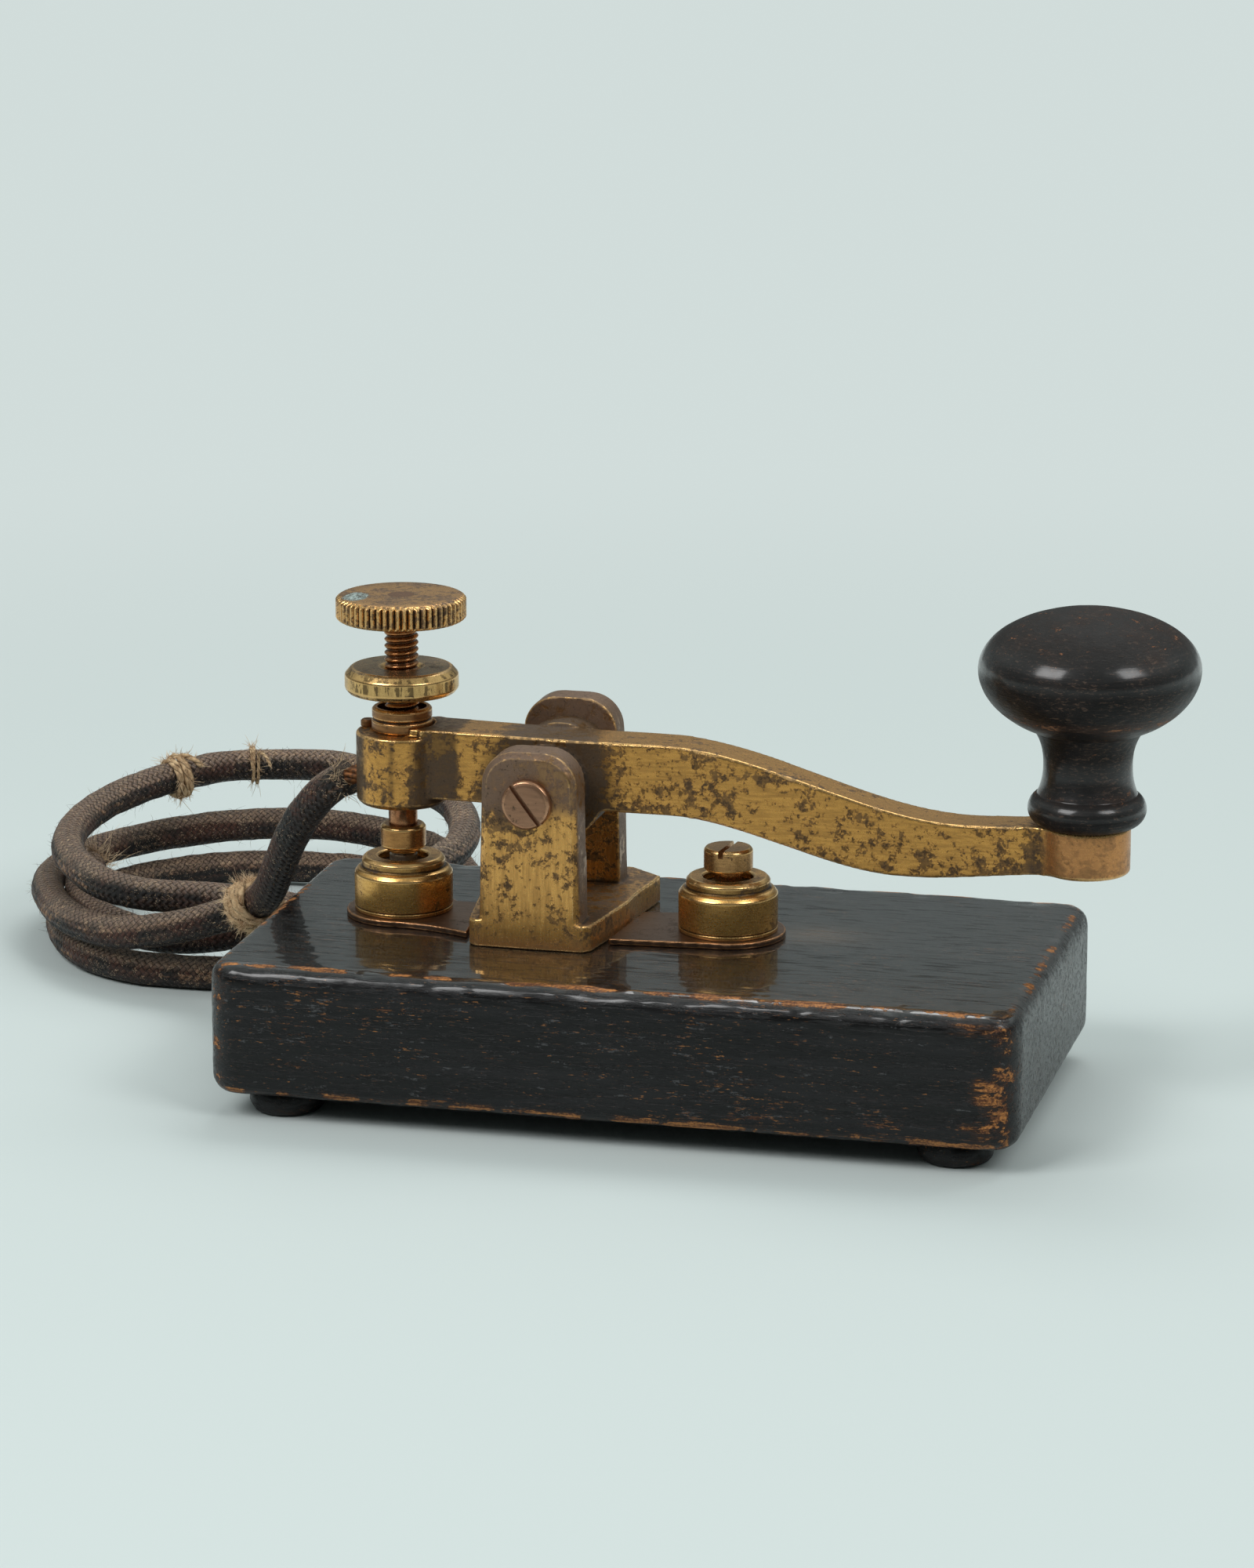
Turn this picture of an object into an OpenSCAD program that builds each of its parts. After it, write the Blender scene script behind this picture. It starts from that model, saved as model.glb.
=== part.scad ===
// Straight telegraph key on a wooden base.
// X runs along the base towards the knob, Y to the rear and Z up.
// The origin lies under the middle of the object, on the plane that the feet stand on.

/* [Wooden base] */
// Length of the base
base_l = 150; // [130:1:180]
// Width of the base
base_w = 82; // [70:1:100]
// Height of the wooden block
base_h = 25; // [18:0.5:35]
// Radius of the upright corners
base_corner_r = 6; // [4:0.5:10]
// Radius of the worn top and bottom edges
base_edge_r = 3.2; // [1:0.1:4]

/* [Feet] */
// Height of a turned foot
foot_h = 4.5; // [3:0.5:8]
// Largest radius of a foot
foot_r = 7; // [5:0.5:9]
// Distance of a foot's centre from the end of the base
foot_inset_x = 12.5; // [10:0.5:20]
// Distance of a foot's centre from the side of the base
foot_inset_y = 10.5; // [9:0.5:16]
// Radius of a foot screw's shank
foot_screw_r = 1.5; // [1:0.1:2]
// Length of a foot screw
foot_screw_l = 14; // [8:0.5:20]

/* [Mechanism line] */
// Distance of the lever's line behind the middle of the base
line_y = 1.5; // [-5:0.5:5]
// Place of the pivot along the base
pivot_x = -20; // [-26:0.5:-14]
// Distance from the pivot back to the adjusting screw
rear_arm = 29.2; // [27:0.1:34]
// Distance from the pivot forward to the front contact
contact_arm = 33.2; // [31:0.1:40]
// Distance from the pivot forward to the knob
knob_arm = 99.7; // [90:0.1:110]

/* [Pivot frame] */
// Height of the pivot axis above the base
pivot_h = 27.7; // [26:0.1:30]
// Height of the front post above the base
front_post_h = 37; // [35:0.5:44]
// Height of the rear post above the base
rear_post_h = 40.4; // [36:0.2:46]
// Width of a post below its round corners
post_w = 18; // [15:0.5:22]
// Width of a post at its foot
post_foot_w = 19.4; // [18:0.2:22.4]
// Thickness of a post
post_t = 7; // [5:0.5:9]
// Gap between the two posts
post_gap = 24; // [21:0.5:30]
// Radius of a post's top corners
post_corner_r = 6.5; // [3:0.5:7.5]
// Chamfer round the outer face of a post
post_chamfer = 1.1; // [0.4:0.1:1.6]
// Thickness of the foot plate
plate_t = 5.1; // [4:0.1:7]
// Half width of the foot plate under the front post
plate_front_half = 11.4; // [11.3:0.1:13]
// Half width of the foot plate at the lever's line
plate_mid_half = 14.2; // [13:0.1:15.5]
// Half width of the foot plate under the rear post
plate_rear_half = 15.6; // [14:0.1:18]
// Length of the foot plate behind the rear post
plate_rear_l = 5.5; // [3:0.5:7]
// Radius of a frame screw's shank
frame_screw_r = 2; // [1.5:0.1:2.5]
// Distance of each frame screw from the lever's line
frame_screw_y = 13; // [8:0.5:15]

/* [Pivot] */
// Radius of the pivot bolt's shank
pivot_r = 3; // [2.5:0.1:3.4]
// Radius of the pivot bolt's head
pivot_head_r = 4.6; // [4.2:0.1:6]
// Height of the pivot bolt's head
pivot_head_h = 2; // [1.5:0.1:3]
// Radial running clearance round shafts that turn or slide
running_fit = 0.05; // [0.02:0.01:0.1]
// Radius of the hub on the spring's side
hub_r = 9.5; // [8.8:0.1:10.5]
// Radius of the hub on the other side
spacer_r = 7.5; // [5:0.1:8]
// Radius of the round belly under the pivot
belly_r = 11; // [9:0.5:12]
// End play between the hub and each post
end_play = 0.3; // [0.1:0.05:0.6]

/* [Return spring] */
// Radius of the spring's wire
spring_wire_r = 0.5; // [0.3:0.05:0.6]
// Mean radius of the spring's coils
spring_r = 6.2; // [6:0.1:6.6]
// Number of coils
spring_turns = 3.25; // [2:0.25:3.5]
// Inner radius of the hub's spring recess
recess_in_r = 4.6; // [4:0.1:5]
// Outer radius of the hub's spring recess
recess_out_r = 8; // [7.8:0.1:8.4]
// Depth of the hub's spring recess
recess_depth = 5.2; // [4:0.1:6]

/* [Lever] */
// Height of the strap's top at the pivot, above the base
strap_top = 36.4; // [34:0.1:38]
// Height of the strap's underside at the pivot, above the base
strap_under = 23.3; // [21:0.1:25]
// Width of the strap at the rear boss
strap_w_rear = 11.4; // [9:0.1:12]
// Width of the strap at the knob end
strap_w_front = 8.6; // [7:0.1:10]
// Radius of the end boss under the knob
end_boss_r = 8.1; // [7:0.1:10]
// Height of the end boss's underside above the base
end_boss_under = 16.5; // [14:0.1:20]
// Height of the end boss
end_boss_h = 8.8; // [7:0.1:11]
// Radius of the rear boss
rear_boss_r = 8.6; // [8:0.1:9.5]
// Height of the rear boss's underside above the base
rear_boss_under = 21.7; // [20:0.1:23]
// Height of the rear boss
rear_boss_h = 13.7; // [12:0.1:15]

/* [Adjusting screw] */
// Radius of the adjusting thread
thread_r = 3.2; // [2.5:0.1:3.4]
// Radius of the thumb head
head_r = 12.1; // [10:0.1:13]
// Height of the thumb head
head_h = 4.7; // [3:0.1:6]
// Height of the thumb head's underside above the base
head_under = 56.4; // [54:0.1:62]
// Number of ridges of the knurl
knurl_count = 61; // [48:1:100]
// Depth of the knurl
knurl_depth = 0.4; // [0.2:0.05:0.6]
// Radius of the lock disc
disc_r = 10.6; // [9:0.1:12]
// Height of the lock disc
disc_h = 4.8; // [3:0.1:5.5]
// Height of the lock disc's underside above the base
disc_under = 42.8; // [41:0.1:46]
// Radius of the collar on the rear boss
collar_r = 5.7; // [5:0.1:6.2]
// Height of the collar on the rear boss
collar_h = 4.6; // [3.5:0.1:5]
// Radius of the contact tip
tip_r = 4.25; // [3.5:0.05:4.8]
// Height of the contact tip
tip_h = 4.6; // [4:0.1:5]
// Radius of the contact tip's nose
tip_nose_r = 3; // [2.2:0.1:3.2]
// Height of the contact tip's nose
tip_nose_h = 0.9; // [0.5:0.1:1.2]
// Gap that is left between the nose and the rear contact
rest_gap = 0.1; // [0.05:0.05:0.3]

/* [Anvils] */
// Radius of an anvil's body
anvil_r = 9.2; // [8:0.1:10]
// Height of an anvil's body above its strip
anvil_body_h = 7.9; // [6:0.1:9]
// Radius of an anvil's top ring
ring_r = 7.8; // [6.8:0.1:7.9]
// Height of an anvil's top ring
ring_h = 2.3; // [1.5:0.1:2.6]
// Radius of the well in an anvil's top
well_r = 4.6; // [4:0.1:5]
// Radius of an anvil's stud
stud_r = 3; // [2.5:0.1:3.5]
// Thickness of the brass strips
strip_t = 1.2; // [0.8:0.1:2]
// Radius of the round end of a brass strip
strip_r = 10.7; // [10.1:0.1:12]
// Gap between a strip's end and the pivot frame
strip_gap = 1; // [0.5:0.1:2]
// Radius of the front contact screw's head
contact_head_r = 4.55; // [3.6:0.05:5]
// Height of the front contact screw's head
contact_head_h = 4.3; // [3:0.1:5]
// Height of the front contact screw's top above the base
contact_top = 16.9; // [15:0.1:17.4]
// Radius of the front contact screw's thread
contact_thread_r = 2.5; // [2:0.1:2.8]
// Width of the screwdriver slots
slot_w = 0.9; // [0.5:0.1:1.4]

/* [Knob] */
// Largest radius of the knob
knob_r = 20.1; // [17:0.1:22]
// Height of the knob above the end boss
knob_h = 39.7; // [34:0.1:44]
// Height of the knob's widest place above the end boss
knob_wide_h = 29; // [25:0.1:31]
// Radius of the knob's neck
neck_r = 8.1; // [7:0.1:9]
// Radius of the bead at the knob's foot
bead_r = 10.8; // [9.4:0.1:12]
// Radius of the knob screw's shank
knob_screw_r = 2; // [1.5:0.1:2.5]

/* [Lead] */
// Radius of the cord
cord_r = 3.3; // [2.5:0.1:4]
// Radius of the bare conductor
core_r = 1.5; // [1:0.1:1.7]
// Radius of the clamp screw that holds the conductor
clamp_r = 1; // [0.8:0.1:1.1]
// Radius of the clamp screw's head
clamp_head_r = 1.4; // [1.2:0.1:1.6]
// Mean radius of the coil
coil_r = 40; // [37:0.5:42]
// Width of the coil from its inner to its outer side
coil_w = 16.6; // [14:0.2:20]
// Height of the coil
coil_h = 30; // [27:0.5:34]

/* [Hidden] */
$fn = 96;
hull_fn = 32;
eps = 0.01;

// Length of a cut that goes right through, and depth of the slab that the strap's side view is cut from
through_l = 60;
strap_slab = 40;

// Heights of the base and places of the parts along it, from the middle of the base
top_z = foot_h + base_h;
rear_x = pivot_x - rear_arm;
front_x = pivot_x + contact_arm;
knob_x = pivot_x + knob_arm;
pivot_z = top_z + pivot_h;
origin_x = (knob_x + knob_r - base_l / 2) / 2;

// Faces of the posts across the mechanism line
front_in_y = line_y - post_gap / 2;
front_out_y = front_in_y - post_t;
rear_in_y = line_y + post_gap / 2;
rear_out_y = rear_in_y + post_t;
post_reach = post_gap / 2 + post_t;

// Strap of the lever: it runs level over the posts and sweeps down to the knob
strap_end_top = end_boss_under + end_boss_h;
dip_top = strap_end_top - 0.6;
dip_under = end_boss_under - 2.1;
rear_rise = 0.5;
strap_step = 2.5;
bore_r = thread_r + running_fit;
rear_boss_top = rear_boss_under + rear_boss_h;

// Knob: heights above the end boss, and the angle at which the bowl leaves the neck
bead_h = 6.3;
neck_z = bead_h + 5;
bowl_drop = 0.45 * knob_wide_h;
bowl_a = -acos((neck_r + 1.8) / knob_r);
bowl_z = knob_wide_h + bowl_drop * sin(bowl_a);

// Stack of the adjusting screw
collar_top = rear_boss_top + collar_h;
contact_h = strip_t + anvil_body_h + ring_h + 0.5;
tip_under = contact_h + rest_gap + tip_nose_h;
tip_top = tip_under + tip_h;
stem_r = thread_r - 0.5;
tip_pin_r = 1.8;
tip_pin_l = 3;
spigot_r = 2.4;

// How far a strip's straight edge starts inside its round end
strip_bite = 0.12;

// Fixings under the base
counterbore_d = 11;
nut_r = 5;
nut_h = 4;
washer_r = 5.6;
washer_t = 1;
stud_end = foot_h + counterbore_d - washer_t - nut_h - 1.5;
screw_head_r = 3.6;
screw_head_h = 2.6;

// Knob screw: depth of its hole, its reach into the knob, its cone, the countersink and the slot
knob_hole_l = 16;
knob_screw_reach = 13;
knob_cone = 1.9;
knob_sink = 2.1;
knob_slot_r = 4;
knob_slot_d = 0.8;

// Lead: the stripped end goes into the rear boss, and the cord lies down behind the base
core_hole_l = 4.2;
core_hole_run = 20;
core_h = 26.5;
clamp_angle = 168;
clamp_l = rear_boss_top - core_h - core_r - 0.05;
core_points = [[-53.9, 1.5, 56], [-57.9, 1.5, 56], [-58.6, 1.6, 55.6], [-59.9, 1.8, 55]];
lead_points = [
    [-59.9, 1.8, 55], [-62.5, 2.2, 53.8], [-65, 3.4, 51.8], [-67.6, 5, 49.2], [-70.2, 7, 46.1],
    [-72.6, 9.4, 42.8], [-74.9, 12.2, 39.2], [-77, 15, 35.6], [-79.1, 18, 32], [-81, 21, 28.6],
    [-83, 24.4, 25.6], [-85.4, 27.6, 23], [-88.2, 30.2, 20.8], [-91, 32.4, 19], [-93.6, 34.2, 17.6]
];
tie_at = 11;
lead_sides = 8;
coil_centre = [-104, 81];
coil_edge_r = 3.3;

// Puts a piece, drawn from the middle of the base, into the object's own frame
module placed() {
    translate([-origin_x, 0, 0]) children();
}

// A smooth step from 0 to 1 while x goes from a to b
function ease(x, a, b) = let (t = min(1, max(0, (x - a) / (b - a)))) t * t * (3 - 2 * t);
function arc(cx, cy, r, a0, a1, n) =
    [for (i = [0:n]) let (a = a0 + (a1 - a0) * i / n) [cx + r * cos(a), cy + r * sin(a)]];
function unit(v) = v / norm(v);

// Rings swept along a path, each square to it, with flat ends
function path_dir(p, i) = unit(p[min(len(p) - 1, i + 1)] - p[max(0, i - 1)]);
function path_side(d) = unit(cross(d, abs(d[2]) > 0.9 ? [0, 1, 0] : [0, 0, 1]));
function ring_at(p, i, r, n) =
    let (d = path_dir(p, i), s = path_side(d), u = cross(s, d))
    [for (k = [0:n - 1]) p[i] + r * (s * cos(360 * k / n) + u * sin(360 * k / n))];

module swept(p, r, n) {
    rings = [for (i = [0:len(p) - 1]) each ring_at(p, i, r, n)];
    sides = [
        for (i = [0:len(p) - 2]) for (k = [0:n - 1])
            let (a = i * n + k, b = i * n + (k + 1) % n) [a, a + n, b + n, b]
    ];
    first = [for (k = [0:n - 1]) k];
    last = [for (k = [0:n - 1]) len(rings) - 1 - k];
    polyhedron(rings, concat([first, last], sides), convexity = 8);
}

// A straight screwdriver slot across a flat head that looks along +Z
module slot_cut(r, depth, angle) {
    rotate([0, 0, angle]) translate([-r - 1, -slot_w / 2, -depth]) cube([2 * r + 2, slot_w, depth + 1]);
}

// A disc with chamfered edges that stands on z = 0
module chamfered_disc(r, h, low, high) {
    rotate_extrude() polygon([[0, 0], [r - low, 0], [r, low], [r, h - high], [r - high, h], [0, h]]);
}

module base_pillar() {
    rotate_extrude($fn = hull_fn) polygon(concat(
        [[0, 0]],
        arc(base_corner_r - base_edge_r, base_edge_r, base_edge_r, -90, 0, 6),
        arc(base_corner_r - base_edge_r, base_h - base_edge_r, base_edge_r, 0, 90, 6),
        [[0, base_h]]
    ));
}

module foot_places() {
    for (sx = [-1, 1], sy = [-1, 1])
        translate([sx * (base_l / 2 - foot_inset_x), sy * (base_w / 2 - foot_inset_y), 0]) children();
}

module anvil_places() {
    for (x = [rear_x, front_x]) translate([x, line_y, 0]) children();
}

module frame_screw_places() {
    for (s = [-1, 1]) translate([pivot_x, line_y + s * frame_screw_y, 0]) children();
}

module base() {
    color("#1d1a19") placed() difference() {
        translate([0, 0, foot_h]) hull() for (sx = [-1, 1], sy = [-1, 1])
            translate([sx * (base_l / 2 - base_corner_r), sy * (base_w / 2 - base_corner_r), 0])
                base_pillar();
        anvil_places() {
            translate([0, 0, foot_h - eps]) cylinder(r = washer_r + 0.6, h = counterbore_d + eps);
            translate([0, 0, foot_h]) cylinder(r = stud_r + 0.2, h = base_h + 1);
        }
        frame_screw_places() {
            translate([0, 0, foot_h - eps]) cylinder(r = screw_head_r + 0.5, h = counterbore_d + eps);
            translate([0, 0, foot_h]) cylinder(r = frame_screw_r + 0.2, h = base_h + 1);
        }
        foot_places() translate([0, 0, foot_h - 1]) cylinder(r = foot_screw_r, h = foot_screw_l);
    }
}

module feet() {
    bulge = arc(foot_r - foot_h * 0.62, foot_h * 0.55, foot_h * 0.62, -50, 46, 10);
    color("#2a2320") placed() foot_places() difference() {
        rotate_extrude()
            polygon(concat([[0, 0], [foot_r - 2.2, 0]], bulge, [[foot_r - 1.4, foot_h], [0, foot_h]]));
        translate([0, 0, -1]) cylinder(r = foot_screw_r, h = foot_h + 2);
        translate([0, 0, -eps]) cylinder(r1 = 3.3, r2 = foot_screw_r, h = 2.1);
    }
}

module foot_screws() {
    color("#6b6a66") placed() foot_places() difference() {
        union() {
            translate([0, 0, 0.4]) cylinder(r1 = 2.9, r2 = foot_screw_r, h = 1.6);
            translate([0, 0, 1.9]) cylinder(r = foot_screw_r, h = foot_screw_l - 4);
            translate([0, 0, foot_screw_l - 2.1]) cylinder(r1 = foot_screw_r, r2 = 0.3, h = 2);
        }
        translate([0, 0, 0.4]) mirror([0, 0, 1]) slot_cut(3, 0.8, 20);
    }
}

// Outline of a post, seen along Y, from the top of the base
module post_outline(h, inset) {
    hull() {
        for (s = [-1, 1]) translate([s * (post_w / 2 - post_corner_r), h - post_corner_r])
            circle(r = post_corner_r - inset, $fn = 2 * hull_fn);
        polygon([[-post_foot_w / 2 + inset, 0], [post_foot_w / 2 - inset, 0], [0, 1]]);
    }
}

// A post whose outer face looks along -Y and lies at y = 0
module post(h) {
    hull() {
        translate([0, post_t, 0]) rotate([90, 0, 0]) linear_extrude(post_t - post_chamfer) post_outline(h, 0);
        translate([0, 0.02, 0]) rotate([90, 0, 0]) linear_extrude(0.02) post_outline(h, post_chamfer);
    }
}

// Half width of the foot plate at a distance y behind the lever's line
function plate_half(y) = y < 0
    ? plate_mid_half + (plate_front_half - plate_mid_half) * -y / post_reach
    : plate_mid_half + (plate_rear_half - plate_mid_half) * ease(y, 5, post_reach);

function plate_side(s) = concat(
    [[s * (plate_front_half - 1.2), -post_reach]],
    [for (i = [0:12]) let (y = -post_reach + 1.2 + (2 * post_reach - 1) * i / 12) [s * plate_half(y), y]],
    [[s * (plate_rear_half - plate_rear_l - 1), post_reach + plate_rear_l]]
);

module plate_outline() {
    right = plate_side(1);
    left = plate_side(-1);
    polygon(concat(right, [for (i = [len(left) - 1:-1:0]) left[i]]));
}

// Fillet between a post's inner face and the foot plate, seen along X
module root_fillet(r) {
    difference() {
        square(r + 0.5);
        translate([r + 0.5, r + 0.5]) circle(r = r, $fn = 48);
        translate([0.5, r + 0.5]) square(r);
    }
}

module pivot_frame() {
    fillet_r = 1.6;
    color("#a8823a") placed() difference() {
        union() {
            translate([pivot_x, line_y, top_z]) linear_extrude(plate_t) plate_outline();
            translate([pivot_x, front_out_y, top_z]) post(front_post_h);
            translate([pivot_x, rear_out_y, top_z]) rotate([0, 0, 180]) post(rear_post_h);
            translate([pivot_x, line_y, top_z + plate_t - 0.5]) for (s = [-1, 1])
                translate([-s * (post_w / 2 - 1), s * (post_gap / 2 + 0.5), 0])
                    rotate([90, 0, s * 90]) linear_extrude(post_w - 2) root_fillet(fillet_r);
        }
        translate([pivot_x, front_out_y - 1, pivot_z]) rotate([-90, 0, 0])
            cylinder(r = pivot_r + 0.04, h = post_t + 2);
        translate([pivot_x, rear_in_y - 1, pivot_z]) rotate([-90, 0, 0])
            cylinder(r = pivot_r, h = post_t + 2);
        translate([pivot_x + spring_r, rear_in_y - 1, pivot_z]) rotate([-90, 0, 0])
            cylinder(r = spring_wire_r + 0.2, h = 3.4);
        frame_screw_places() translate([0, 0, top_z - 1]) cylinder(r = frame_screw_r, h = plate_t + 0.2);
    }
}

module frame_screws() {
    head_z = foot_h + counterbore_d - screw_head_h;
    color("#8f8b80") placed() frame_screw_places() difference() {
        union() {
            translate([0, 0, head_z]) chamfered_disc(screw_head_r, screw_head_h, 0.5, 0.1);
            translate([0, 0, head_z + 1]) cylinder(r = frame_screw_r, h = top_z + plate_t - 1.2 - head_z - 1);
        }
        translate([0, 0, head_z]) mirror([0, 0, 1]) slot_cut(screw_head_r, 1, 35);
    }
}

module pivot_bolt() {
    end_proud = 0.8;
    bolt_l = rear_out_y - front_out_y + end_proud;
    color("#8a5f3c") placed() translate([pivot_x, front_out_y, pivot_z]) rotate([90, 0, 0]) difference() {
        union() {
            chamfered_disc(pivot_head_r, pivot_head_h, 0.1, 0.35);
            translate([0, 0, -bolt_l]) chamfered_disc(pivot_r, bolt_l + 1, 0.5, 0.1);
        }
        translate([0, 0, pivot_head_h]) slot_cut(pivot_head_r, 1.1, -53);
    }
}

// Wire of the spring: a tail into the lever, the coils, and a tail into the rear post
module return_spring() {
    floor_y = rear_in_y - end_play - recess_depth;
    y0 = floor_y + spring_wire_r + 0.25;
    y1 = rear_in_y - end_play - spring_wire_r - 0.1;
    steps = 18 * spring_turns;
    a0 = -360 * spring_turns;
    coil = [for (i = [0:steps]) let (t = i / steps, a = a0 + 360 * spring_turns * t)
        [spring_r * cos(a), y0 + (y1 - y0) * t, spring_r * sin(a)]];
    first = [for (y = [floor_y - 1.4, floor_y - 0.4]) [spring_r * cos(a0), y, spring_r * sin(a0)]];
    last = [for (y = [y1 + 0.8, rear_in_y + 2]) [spring_r, y, 0]];
    color("#7c776c") placed() translate([pivot_x, 0, pivot_z])
        swept(concat(first, coil, last), spring_wire_r, 6);
}

// Edges of the strap, seen along Y, in heights above the base
function strap_top_z(x) = strap_top
    + rear_rise * (1 - ease(x, rear_x, pivot_x + 12))
    + (dip_top - strap_top) * ease(x, pivot_x + 21, knob_x - 21.7)
    + (strap_end_top - dip_top) * ease(x, knob_x - 21.7, knob_x - 5);
function strap_under_z(x) = strap_under
    + rear_rise * (1 - ease(x, rear_x, pivot_x + 12))
    + (dip_under - strap_under) * ease(x, pivot_x + 22, knob_x - 32.7)
    + (end_boss_under - dip_under) * ease(x, knob_x - 31.7, knob_x - 3);

module strap_profile() {
    x0 = rear_x;
    n = ceil((knob_x - x0) / strap_step);
    xs = [for (i = [0:n]) x0 + (knob_x - x0) * i / n];
    polygon(concat([for (x = xs) [x, strap_top_z(x)]], [for (i = [n:-1:0]) [xs[i], strap_under_z(xs[i])]]));
}

module strap_plan() {
    blend_r = 4;
    wr = strap_w_rear / 2;
    wf = strap_w_front / 2;
    polygon([[rear_x, wr], [pivot_x, wr - 0.4], [front_x + 22, wf], [knob_x, wf],
        [knob_x, -wf], [front_x + 22, -wf], [pivot_x, -wr + 0.4], [rear_x, -wr]]);
    for (s = [-1, 1]) translate([rear_x, 0]) boss_blend(s, rear_boss_r, wr, 1, blend_r);
    for (s = [-1, 1]) translate([knob_x, 0]) boss_blend(s, end_boss_r, wf, -1, blend_r + 2);
}

// Concave web in plan between a round boss and the strap that leaves it along +X or -X.
// Its curve bites a little into both, so that no knife edge is left where they would only touch.
module boss_blend(side, r, half, way, fr) {
    bite = 0.08;
    cy = half + fr - bite;
    cx = sqrt(pow(r + fr - bite, 2) - cy * cy);
    touch = (r - 0.4) / (r + fr - bite);
    scale([way, side]) difference() {
        polygon([[0, 0], [cx - 0.2, 0], [cx - 0.2, half - 0.3], [cx * touch, cy * touch]]);
        translate([cx, cy]) circle(r = fr, $fn = 64);
    }
}

module hub_shape() {
    side_len = post_gap / 2 - end_play;
    start = strap_w_rear / 2 - 0.8;
    translate([pivot_x, line_y, pivot_z]) rotate([90, 0, 0]) {
        translate([0, 0, start]) chamfered_disc(spacer_r, side_len - start, 0.1, 0.4);
        mirror([0, 0, 1]) translate([0, 0, start]) chamfered_disc(hub_r, side_len - start, 0.1, 0.5);
    }
}

module lever() {
    hub_len = post_gap / 2 - end_play;
    spring_a = -360 * spring_turns;
    color("#a9843c") placed() difference() {
        union() {
            intersection() {
                translate([0, line_y + strap_slab / 2, top_z]) rotate([90, 0, 0]) linear_extrude(strap_slab) {
                    strap_profile();
                    translate([pivot_x, pivot_h]) belly_half();
                }
                translate([0, line_y, top_z]) difference() {
                    linear_extrude(through_l) strap_plan();
                    translate([rear_x, 0, rear_boss_top]) cylinder(r = collar_r + 0.4, h = 20);
                }
            }
            hub_shape();
            translate([rear_x, line_y, top_z + rear_boss_under])
                chamfered_disc(rear_boss_r, rear_boss_h, 0.9, 0.3);
            translate([knob_x, line_y, top_z + end_boss_under])
                chamfered_disc(end_boss_r, end_boss_h, 0.5, 0.3);
        }
        translate([pivot_x, rear_out_y, pivot_z]) rotate([90, 0, 0])
            cylinder(r = pivot_r + running_fit, h = through_l);
        translate([pivot_x, line_y + hub_len + 1, pivot_z]) rotate([90, 0, 0]) difference() {
            cylinder(r = recess_out_r, h = recess_depth + 1);
            translate([0, 0, -1]) cylinder(r = recess_in_r, h = recess_depth + 3);
        }
        translate([pivot_x + spring_r * cos(spring_a), line_y + hub_len, pivot_z + spring_r * sin(spring_a)])
            rotate([90, 0, 0]) cylinder(r = spring_wire_r + 0.2, h = recess_depth + 1.8);
        translate([rear_x, line_y, top_z]) cylinder(r = bore_r, h = through_l);
        translate([knob_x, line_y, top_z]) cylinder(r = knob_screw_r, h = through_l);
        translate([knob_x, line_y, top_z + end_boss_under - eps])
            cylinder(r1 = knob_screw_r + knob_sink, r2 = knob_screw_r, h = knob_sink);
        translate([rear_x - rear_boss_r + core_hole_l, line_y, top_z + core_h]) rotate([0, -90, 0])
            cylinder(r = core_r + 0.1, h = core_hole_run);
        clamp_place() translate([0, 0, -clamp_l - core_r]) cylinder(r = clamp_r, h = clamp_l + core_r + 1);
    }
}

// Lower half of the round belly under the pivot, seen along Y
module belly_half() {
    intersection() {
        circle(r = belly_r, $fn = 64);
        translate([-belly_r, -belly_r]) square([2 * belly_r, belly_r]);
    }
}

// Top of the rear boss, just outside the collar, over the end of the bare conductor
module clamp_place() {
    translate([rear_x, line_y, top_z + rear_boss_top]) rotate([0, 0, clamp_angle])
        translate([collar_r + clamp_head_r + 0.1, 0, 0]) children();
}

module lead_clamp_screw() {
    color("#4a3b2a") placed() clamp_place() difference() {
        union() {
            translate([0, 0, -clamp_l]) cylinder(r = clamp_r, h = clamp_l + 0.1);
            chamfered_disc(clamp_head_r, 1.3, 0.1, 0.3);
        }
        translate([-2, -0.2, 0.8]) cube([4, 0.4, 1]);
    }
}

// Turned outline of the knob: a bead, a cove neck, a deep bowl and a flatter crown
function cove_r(z) = z < neck_z
    ? neck_r + 0.9 * pow((neck_z - z) / (neck_z - bead_h), 2.2)
    : neck_r + 1.8 * pow((z - neck_z) / (bowl_z - neck_z), 2.4);

module knob_body() {
    bead = arc(bead_r - bead_h / 2, bead_h / 2, bead_h / 2, -75, 62, 14);
    cove = [for (i = [0:12]) let (z = bead_h + (bowl_z - bead_h) * i / 12) [cove_r(z), z]];
    bowl = [
        for (i = [1:16]) let (a = bowl_a * (1 - i / 16)) [knob_r * cos(a), knob_wide_h + bowl_drop * sin(a)]
    ];
    rise = knob_h - knob_wide_h;
    crown = [for (i = [1:20]) let (a = 90 * i / 20) [knob_r * cos(a), knob_wide_h + rise * sin(a)]];
    rotate_extrude() polygon(concat([[0, 0], [bead_r - bead_h / 2, 0]], bead, cove, bowl, crown));
}

module knob() {
    color("#1b1716") placed() translate([knob_x, line_y, top_z + strap_end_top]) difference() {
        knob_body();
        translate([0, 0, -1]) cylinder(r = knob_screw_r, h = knob_hole_l + 1);
    }
}

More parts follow.
